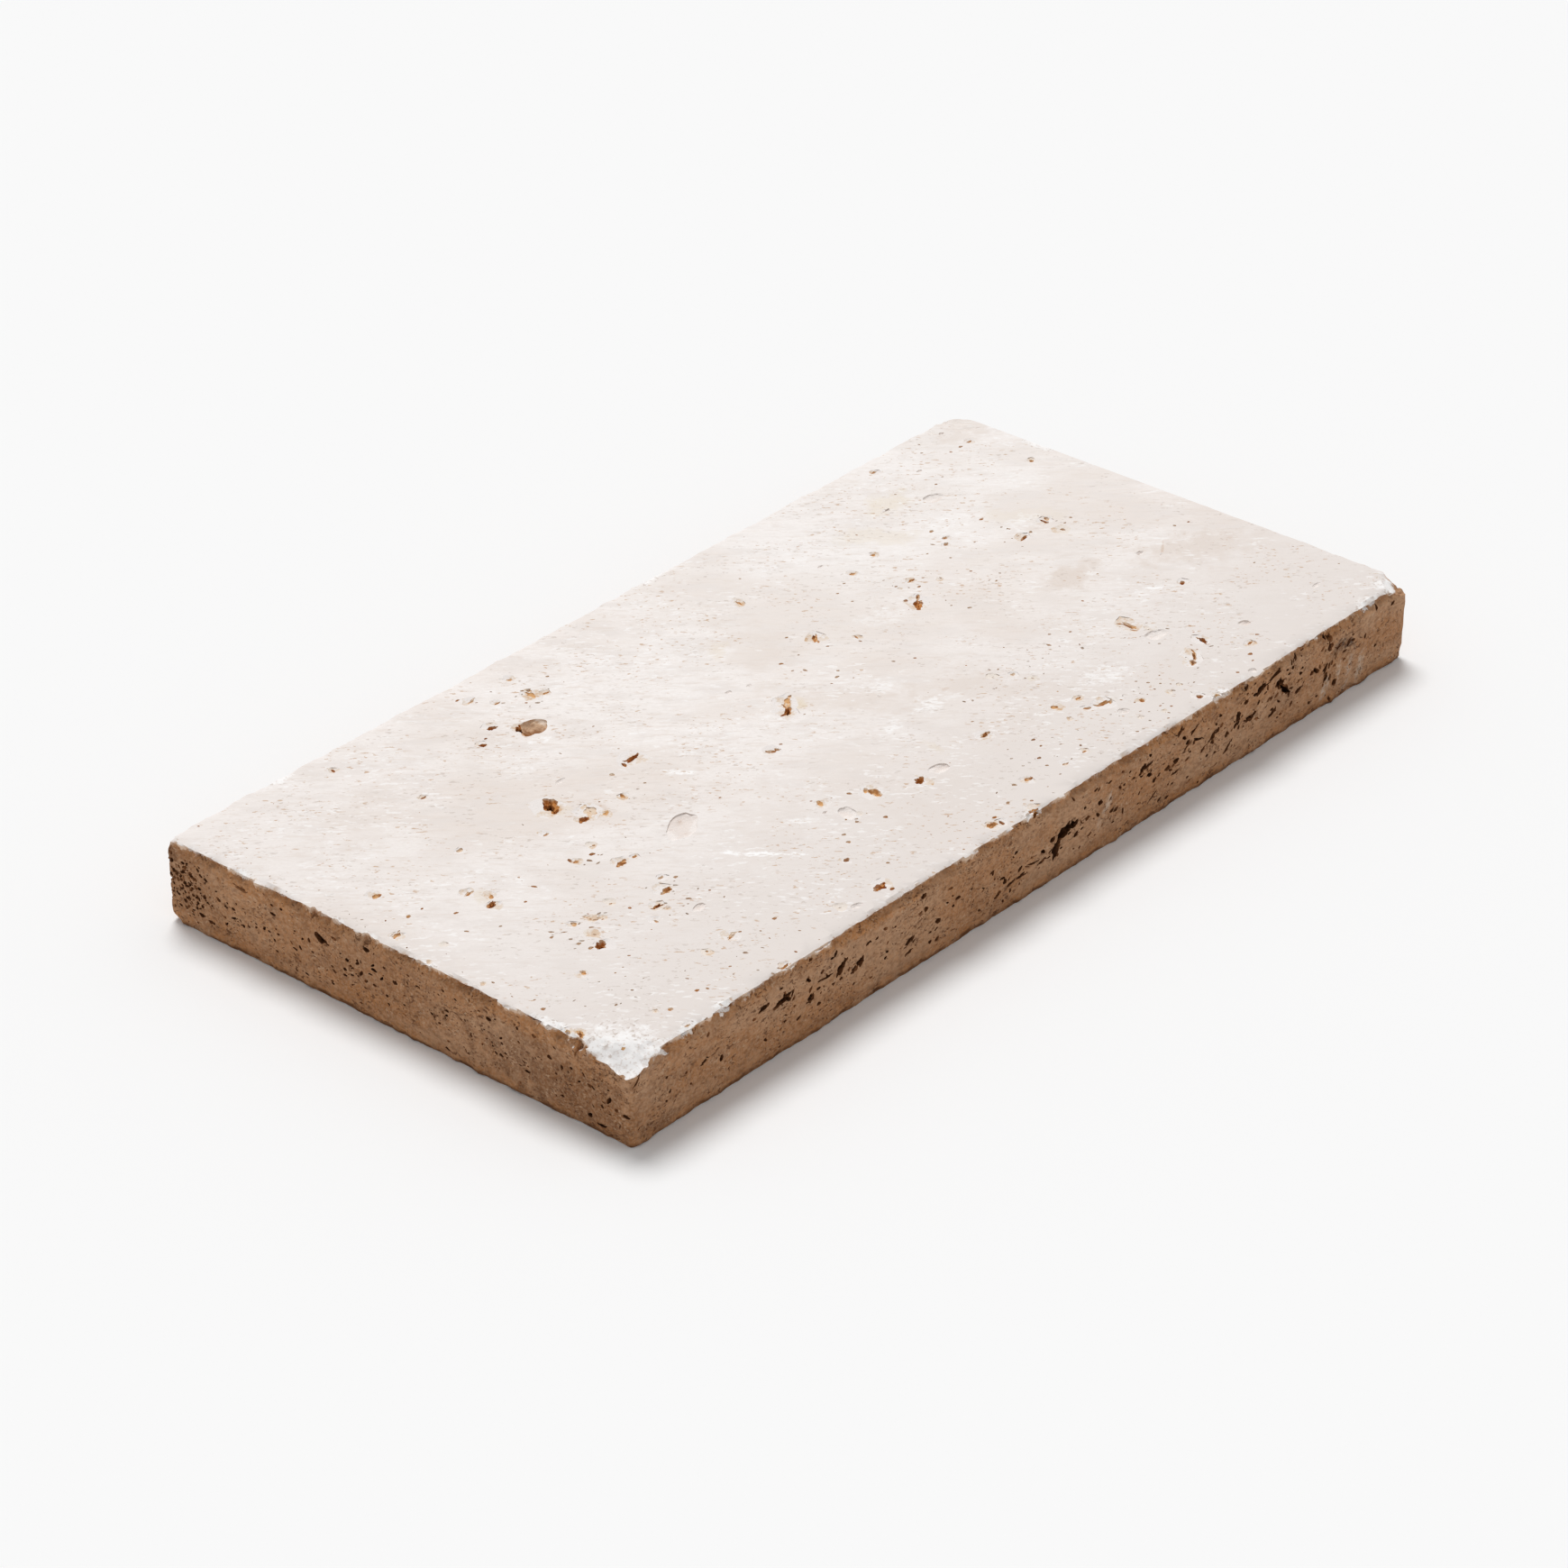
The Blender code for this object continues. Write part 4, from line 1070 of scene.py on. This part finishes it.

# Stains and streaks of the walls: colour, x, y, z, sizes along X, Y and Z, turn about Y, strength. The wide
# dark blots over the near end are partly stain and partly painted shade that darkens that end
wallStains = [
    ("streak", 152.5, -100, 8, 5, 12, 14, 20, 0.85), ("streak", 160, -100, 11, 4, 12, 14, 5, 0.75),
    ("streak", 166.5, -100, 10, 5, 12, 16, 10, 0.85), ("streak", 173, -100, 9, 6, 12, 17, 15, 0.7),
    ("dark", 161, -100, 20, 17, 14, 8, 8, 0.6), ("stain", 163, -100, 20.5, 14, 14, 7, 12, 0.9),
    ("streak", 30.5, -100, 15, 4, 12, 17, 35, 0.75),
    ("lip", 154, -100, 22, 9, 12, 12, 10, 0.35), ("dark", -185, -100, 4, 34, 12, 6, 0, 0.35),
    ("orange", -90, -100, 27, 60, 12, 6, 2, 0.8), ("orange", 60, -100, 28, 50, 12, 5, 1, 0.7),
    ("dark", 128, -100, 15, 22, 12, 16, 30, 0.3), ("orange", -200, 10, 8, 12, 60, 8, 0, 0.5),
    ("orange", -200, -80, 15, 12, 70, 26, 0, 0.4), ("orange", -200, 75, 16, 12, 60, 26, 0, 0.35),
    ("dark", -200, 88, 16, 12, 40, 28, 0, 0.34), ("orange", -200, -60, 26, 12, 60, 7, 0, 0.7),
    ("dark", -200, -72, 12, 12, 90, 30, 0, 0.55), ("dark", -200, 5, 14, 12, 80, 24, 0, 0.2),
    ("dark", -200, 99, 26, 16, 14, 9, 0, 0.55), ("orange", -200, 60, 26, 12, 50, 7, 0, 0.6),
    ("dark", -190, -100, 14, 50, 12, 20, 0, 0.2),
]

# Crumbly white bruises of the upper arris: x, y, sizes along X, Y and Z
bruises = [
    (-196, -95, 36, 48, 26), (-199, -68, 8, 24, 5), (-199, -15, 5, 8, 3), (-199, 10, 5, 9, 3),
    (-199, 24, 5, 7, 4), (-199, 66, 6, 9, 5), (-157, -99, 12, 7, 7), (-172, -99, 12, 6, 7),
    (-7, -99, 12, 8, 7), (93, -99, 12, 7, 6), (177, -99, 16, 8, 7), (193, -96, 14, 12, 9),
    (30, 99, 20, 6, 7), (-150, 99, 14, 6, 7), (196, 60, 6, 14, 7),
]


def faceColour(x, y):
    look = faceColours
    colour = tintPatches(look["cream"], facePatches["underClouds"], look, layerTurn)
    wobble = swing(mottle(7, 4), 1.2)
    for name, cloudX, cloudY, length, width, turn, strength in faceClouds:
        inside = blot(wobble, (cloudX, cloudY, thick / mm), (length, width, cloudHeight), (0, 0, turn))
        colour = tint(colour, inside, strength, look[name])
    colour = tintPatches(colour, facePatches["overClouds"], look, layerTurn)
    # painted shade towards the front and the near end, painted light behind
    inFront = fade(y, 0.2 * halfWidth, -halfWidth)
    colour = tint(colour, inFront, paintedTopShading["front"], look["dustyAndShaded"])
    atEnd = fade(x, -0.3 * halfLength, -halfLength)
    colour = tint(colour, atEnd, paintedTopShading["nearEnd"], look["dustyAndShaded"])
    behind = times(
        fade(y, -0.3 * halfWidth, 0.5 * halfWidth), fade(x, -0.3 * halfLength, 0.3 * halfLength),
    )
    colour = tint(colour, behind, paintedTopShading["behind"], look["white"])
    ripple = swing(mottle(2.8, 4, away=77), 1.3)
    broken = fade(mottle(1.3, 4, (2, 0.8, 1), layerTurn, 66), 0.40, 0.56)
    for streakX, streakY, length, width, turn, strength in whiteStreaks:
        inside = blot(ripple, (streakX, streakY, thick / mm), (length, width, cloudHeight), (0, 0, turn))
        colour = tint(colour, times(inside, broken), strength, look["white"])
    marked = {}
    for name, (*shape, strength) in faceMarks.items():
        marked[name] = marks(*shape, layerTurn)
        colour = tint(colour, marked[name], strength, look[name])
    return colour, calc("MAXIMUM", marked["grey"], marked["tan"])


def wallColour(z):
    look = wallColours
    patches = fade(mottle(20, 4, (1.5, 1.5, 0.7)), 0.38, 0.62)
    colour = mixColour(patches, look["brown"], look["greyish"])
    start, full = wallBands["top"]
    topBand = fade(z, thick - start * mm, thick - full * mm)
    start, full = wallBands["foot"]
    footBand = fade(z, start * mm, full * mm)
    ragged = fade(mottle(9, 3), 0.3, 0.6)
    bands = times(calc("MAXIMUM", topBand, footBand), ragged)
    colour = tint(colour, bands, 0.8, look["orange"])
    wobble = swing(mottle(5, 4), 1.2)
    broken = fade(mottle(1.8, 4, away=77), 0.40, 0.54)
    for name, x, y, height, sizeX, sizeY, sizeZ, turn, strength in wallStains:
        inside = blot(wobble, (x, y, height), (sizeX, sizeY, sizeZ), (0, turn, 0))
        if name in brokenStains:
            inside = times(inside, broken)
        colour = tint(colour, inside, strength, look[name])
    colour = tintPatches(colour, wallPatches, look)
    specks = marks(*wallMarks["specks"])
    specks = calc("MAXIMUM", specks, marks(*wallMarks["dots"]))
    colour = tint(colour, specks, 0.85, look["dark"])
    # painted highlights: small light marks for the lit rims of pits
    colour = tint(colour, marks(*wallMarks["paintedLipHighlights"]), 0.7, look["lip"])
    # painted contact shadow: a dark ragged band along the foot of the walls
    start, full = wallBands["paintedFootShadow"]
    paintedFootShadow = times(fade(z, start * mm, full * mm), ragged)
    colour = tint(colour, paintedFootShadow, 0.9, look["dark"])
    return colour, specks


# The surface of the stone. Levels are in millimetres from the top, upwards
stoneFinish = {
    "roughness": (0.6, 0.3),        # smallest, and what the noise adds
    "levelRag": 2.2,                # how ragged the limit between the colours of top and walls is
    "faceLevel": (-2.1, -0.9),      # where the colours of the top start and are full
    "bruiseLift": (1.0, 5.5),       # how far down a bruise takes them, and what a slope adds
    "featherLevel": (-6, -1.5),     # where flecks of a bruise start and are full
    "feather": 0.6,
    "lipTint": 0.8,                 # on the steep sides
    "crumbTint": 0.45,
    "bruiseTint": 0.85,
    "limitFlecks": 2.6,             # grey flecks round a bruise
    "fineBump": 0.25,
    "coarseBump": 0.6,
    "markBump": -0.5,
    "bumpDistance": 0.8,
    "bumpStrength": (0.62, -0.42),  # on the walls, and what the faces add
}


def stoneMaterial():
    look = stoneFinish
    material, shader = newMaterial("tumbledStone", 0.75)
    x, y, z = objectPlace()
    normal = addNode("ShaderNodeNewGeometry").outputs["Normal"]
    upright = addNode("ShaderNodeSeparateXYZ", {0: normal}).outputs[2]
    wobble = swing(mottle(3, 4), 1)
    bruised = None
    for bruiseX, bruiseY, sizeX, sizeY, sizeZ in bruises:
        inside = blot(wobble, (bruiseX, bruiseY, thick / mm), (sizeX, sizeY, sizeZ))
        bruised = inside if bruised is None else calc("MAXIMUM", bruised, inside)
    level = calc("MULTIPLY_ADD", z, 1 / mm, -thick / mm)
    level = calc("ADD", level, swing(mottle(1.6, 4), look["levelRag"]))
    # painted light: within a bruise, slopes that face up take the top's lighter colours further down
    liftAll, liftSlope = look["bruiseLift"]
    lift = calc("MULTIPLY_ADD", fade(upright, 0.35, 0.7), liftSlope, liftAll)
    level = calc("MULTIPLY_ADD", bruised, lift, level)
    underside = fade(upright, -0.90, -0.98)
    isFace = calc("MAXIMUM", fade(level, *look["faceLevel"]), underside)
    crumbs = fade(mottle(1.4, 3, away=60), 0.52, 0.64)
    feather = times(fade(level, *look["featherLevel"]), times(bruised, crumbs))
    isFace = calc("MAXIMUM", isFace, times(feather, look["feather"]))
    onFace, markedFace = faceColour(x, y)
    # painted shade: steep parts of the top's colours and of the bruises turn warmer and darker, as on the
    # walls
    steep = fade(calc("ABSOLUTE", upright), 0.80, 0.35)
    onFace = tint(onFace, steep, look["lipTint"], faceColours["lip"])
    crumbly = mixColour(steep, faceColours["white"], faceColours["warmWhite"])
    crumbly = tint(crumbly, crumbs, look["crumbTint"], faceColours["crumb"])
    onFace = tint(onFace, bruised, look["bruiseTint"], crumbly)
    limit = times(bruised, calc("SUBTRACT", 1.0, bruised))
    onFace = tint(onFace, times(limit, crumbs), look["limitFlecks"], faceColours["grey"])
    onWall, markedWall = wallColour(z)
    # the walls' colours are darker and browner than the top's, partly as painted shade
    colour = mixColour(isFace, onWall, onFace)
    onTop = fade(z, thick - 0.6 * mm, thick - 0.2 * mm)
    marked = addNode("ShaderNodeMix", {0: onTop, 2: markedWall, 3: markedFace}).outputs[0]
    fine = mottle(0.7, 3)
    coarse = mottle(3, 4, away=20)
    height = calc("MULTIPLY_ADD", coarse, look["coarseBump"], times(fine, look["fineBump"]))
    height = calc("MULTIPLY_ADD", marked, look["markBump"], height)
    onWalls, facesAdd = look["bumpStrength"]
    strength = calc("MULTIPLY_ADD", isFace, facesAdd, onWalls)
    smoothest, noiseAdds = look["roughness"]
    worn = calc("MULTIPLY_ADD", mottle(6, 3), noiseAdds, smoothest)
    bump = bumpFrom(height, look["bumpDistance"], strength)
    connect(shader, {"Base Color": colour, "Normal": bump, "Roughness": worn})
    return material


# Pit linings: colours at the mouth, part way down and at the bottom, and the two depths where they meet.
# Their browns and oranges are the stone's stain, and their darkening towards the bottom is partly painted
# shade of the hollow
liningColours = {
    "haloFace": ((0.86, 0.805, 0.775, 1), (0.79, 0.685, 0.595, 1), (0.66, 0.445, 0.275, 1), 0.35, 1.1),
    "darkFace": ((0.74, 0.53, 0.36, 1), (0.60, 0.265, 0.082, 1), (0.130, 0.042, 0.011, 1), 0.6, 2.6),
    "warmFace": ((0.79, 0.64, 0.50, 1), (0.74, 0.440, 0.205, 1), (0.42, 0.175, 0.055, 1), 0.5, 2.0),
    "faintFace": ((0.84, 0.760, 0.690, 1), (0.73, 0.560, 0.420, 1), (0.50, 0.300, 0.170, 1), 0.5, 2.0),
    "paleFace": ((0.90, 0.835, 0.795, 1), (0.83, 0.745, 0.695, 1), (0.66, 0.525, 0.440, 1), 0.7, 2.2),
    "ovalFace": ((0.86, 0.715, 0.590, 1), (0.72, 0.500, 0.335, 1), (0.290, 0.125, 0.048, 1), 0.5, 2.6),
    "darkWall": ((0.24, 0.098, 0.038, 1), (0.125, 0.046, 0.016, 1), (0.058, 0.020, 0.007, 1), 0.35, 1.6),
    "warmWall": ((0.40, 0.190, 0.086, 1), (0.270, 0.112, 0.042, 1), (0.130, 0.048, 0.017, 1), 0.4, 1.7),
}

liningFinish = {
    "roughness": 0.92,
    "uneven": 1.5,            # how far the noise shifts a depth, in millimetres
    "slope": 2,
    "halfWay": (0.3, 1.7),    # where a colour starts and is full, as shares of its depth
    "bottom": (0.6, 1.4),
    "bumpDistance": 0.6,
    "bumpStrength": 0.5,
}


def liningMaterial(name, mouth, halfWay, bottom, shallow, deep):
    material, shader = newMaterial(name, liningFinish["roughness"])
    x, y, z = objectPlace()
    inX = calc("SUBTRACT", halfLength, calc("ABSOLUTE", x))
    inY = calc("SUBTRACT", halfWidth, calc("ABSOLUTE", y))
    inZ = calc("MINIMUM", z, calc("SUBTRACT", thick, z))
    depth = calc("MINIMUM", calc("MINIMUM", inX, inY), inZ)
    uneven = swing(mottle(1.3, 3), liningFinish["uneven"] * mm)
    slope = swing(mottle(7, 1, away=33), liningFinish["slope"] * mm)
    depth = calc("ADD", depth, calc("ADD", uneven, slope))
    # painted shade in part: the lining darkens with depth
    start, full = liningFinish["halfWay"]
    colour = mixColour(fade(depth, shallow * mm * start, shallow * mm * full), mouth, halfWay)
    start, full = liningFinish["bottom"]
    colour = mixColour(fade(depth, deep * mm * start, deep * mm * full), colour, bottom)
    bump = bumpFrom(mottle(0.8, 3), liningFinish["bumpDistance"], liningFinish["bumpStrength"])
    connect(shader, {"Base Color": colour, "Normal": bump})
    return material


# The studio: camera and lights as they stand round the object, in millimetres and degrees
studio = {
    "eye": (-1155.8, -985.6, 900.9),
    "target": (-26.35, -9.87, 15),
    "lens": 121.26,
    "sensor": 36,
    "sight": 20,           # metres
    "floorSize": 8000,
    "floorColour": (0.93, 0.93, 0.93, 1),
    "floorRoughness": 0.9,
    "skyColour": (1, 1, 1, 1),
    "skyStrength": 0.45,
    "lampStrength": 2.01,
    "lampSpread": 27,
    "lampTilt": 27,        # from upright
    "lampFrom": 57,        # the side it leans to, from the X axis
}


def makeStudio():
    deselectAll()
    bpy.ops.mesh.primitive_plane_add(size=studio["floorSize"] * mm, location=(0, 0, 0))
    floor = bpy.context.object
    floor.name = "studioFloor"
    material, shader = newMaterial("floorPaper", studio["floorRoughness"])
    connect(shader, {"Base Color": studio["floorColour"]})
    floor.data.materials.append(material)

    world = bpy.data.worlds.new("studioAir")
    world.use_nodes = True
    sky = world.node_tree.nodes["Background"]
    connect(sky, {"Color": studio["skyColour"], "Strength": studio["skyStrength"]})
    bpy.context.scene.world = world

    lamp = bpy.data.lights.new("softLamp", "SUN")
    lamp.energy = studio["lampStrength"]
    lamp.angle = math.radians(studio["lampSpread"])
    lampObject = bpy.data.objects.new("softLamp", lamp)
    tilt = math.radians(studio["lampTilt"])
    side = math.radians(studio["lampFrom"])
    towards = Vector((math.sin(tilt) * math.cos(side), math.sin(tilt) * math.sin(side), math.cos(tilt)))
    lampObject.location = towards
    lampObject.rotation_euler = towards.to_track_quat("Z", "Y").to_euler()
    bpy.context.scene.collection.objects.link(lampObject)

    camera = bpy.data.cameras.new("photoCamera")
    camera.lens = studio["lens"]
    camera.sensor_width = studio["sensor"]
    camera.clip_end = studio["sight"]
    cameraObject = bpy.data.objects.new("photoCamera", camera)
    eye = Vector(studio["eye"]) * mm
    cameraObject.location = eye
    cameraObject.rotation_euler = (Vector(studio["target"]) * mm - eye).to_track_quat("-Z", "Y").to_euler()
    bpy.context.scene.collection.objects.link(cameraObject)
    bpy.context.scene.camera = cameraObject
    bpy.context.scene.view_settings.view_transform = "Standard"


shadeAngle = 35   # edges under this angle are shaded smooth


def finishShading(block):
    activate(block)
    bpy.ops.object.mode_set(mode="EDIT")
    bpy.ops.mesh.select_mode(type="EDGE")
    shape = bmesh.from_edit_mesh(block.data)
    for edge in shape.edges:
        edge.select = len({f.material_index for f in edge.link_faces}) > 1
    bmesh.update_edit_mesh(block.data)
    bpy.ops.mesh.mark_sharp()
    bpy.ops.object.mode_set(mode="OBJECT")
    bpy.ops.object.shade_smooth_by_angle(angle=math.radians(shadeAngle), keep_sharp_edges=True)


def countFacets(block):
    shape = bmesh.new()
    shape.from_mesh(block.data)
    openEdges = sum(not e.is_manifold for e in shape.edges)
    bmesh.ops.triangulate(shape, faces=shape.faces)
    note(f"paver has {len(shape.faces)} triangles, {openEdges} open edges")
    shape.free()


block = addBlock()
roundCorners()
skewFarEnd()
cutColumns()
easeArrises()
gridFaces()
cutRows()
bpy.ops.object.mode_set(mode="OBJECT")
note(f"block cut to {len(block.data.polygons)} facets")

tumble(block)
note("block tumbled")

stone = stoneMaterial()
pitLinings = {kind: liningMaterial(kind + "Lining", *look) for kind, look in liningColours.items()}
block.data.materials.append(stone)
note("materials made")

lumps = modelLumps()
cutters = cutterCollection("pitCutters")
addWornCorners(cutters, stone)
addChips(cutters, lumps, stone)
addHandPits(cutters, lumps, pitLinings)
addPores(cutters, lumps, pitLinings)
addThickets(cutters, lumps, pitLinings)
note(f"{len(cutters.objects)} cutters placed")
for shapes in lumps.values():
    for lump in shapes:
        bpy.data.objects.remove(lump, do_unlink=True)
cutWith(block, cutters)
dropCrumbs(block)
note("pits and chips cut")
finishShading(block)
countFacets(block)

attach(block, "root")
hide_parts("travertine_slab")
makeStudio()

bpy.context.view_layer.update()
note("studio made")
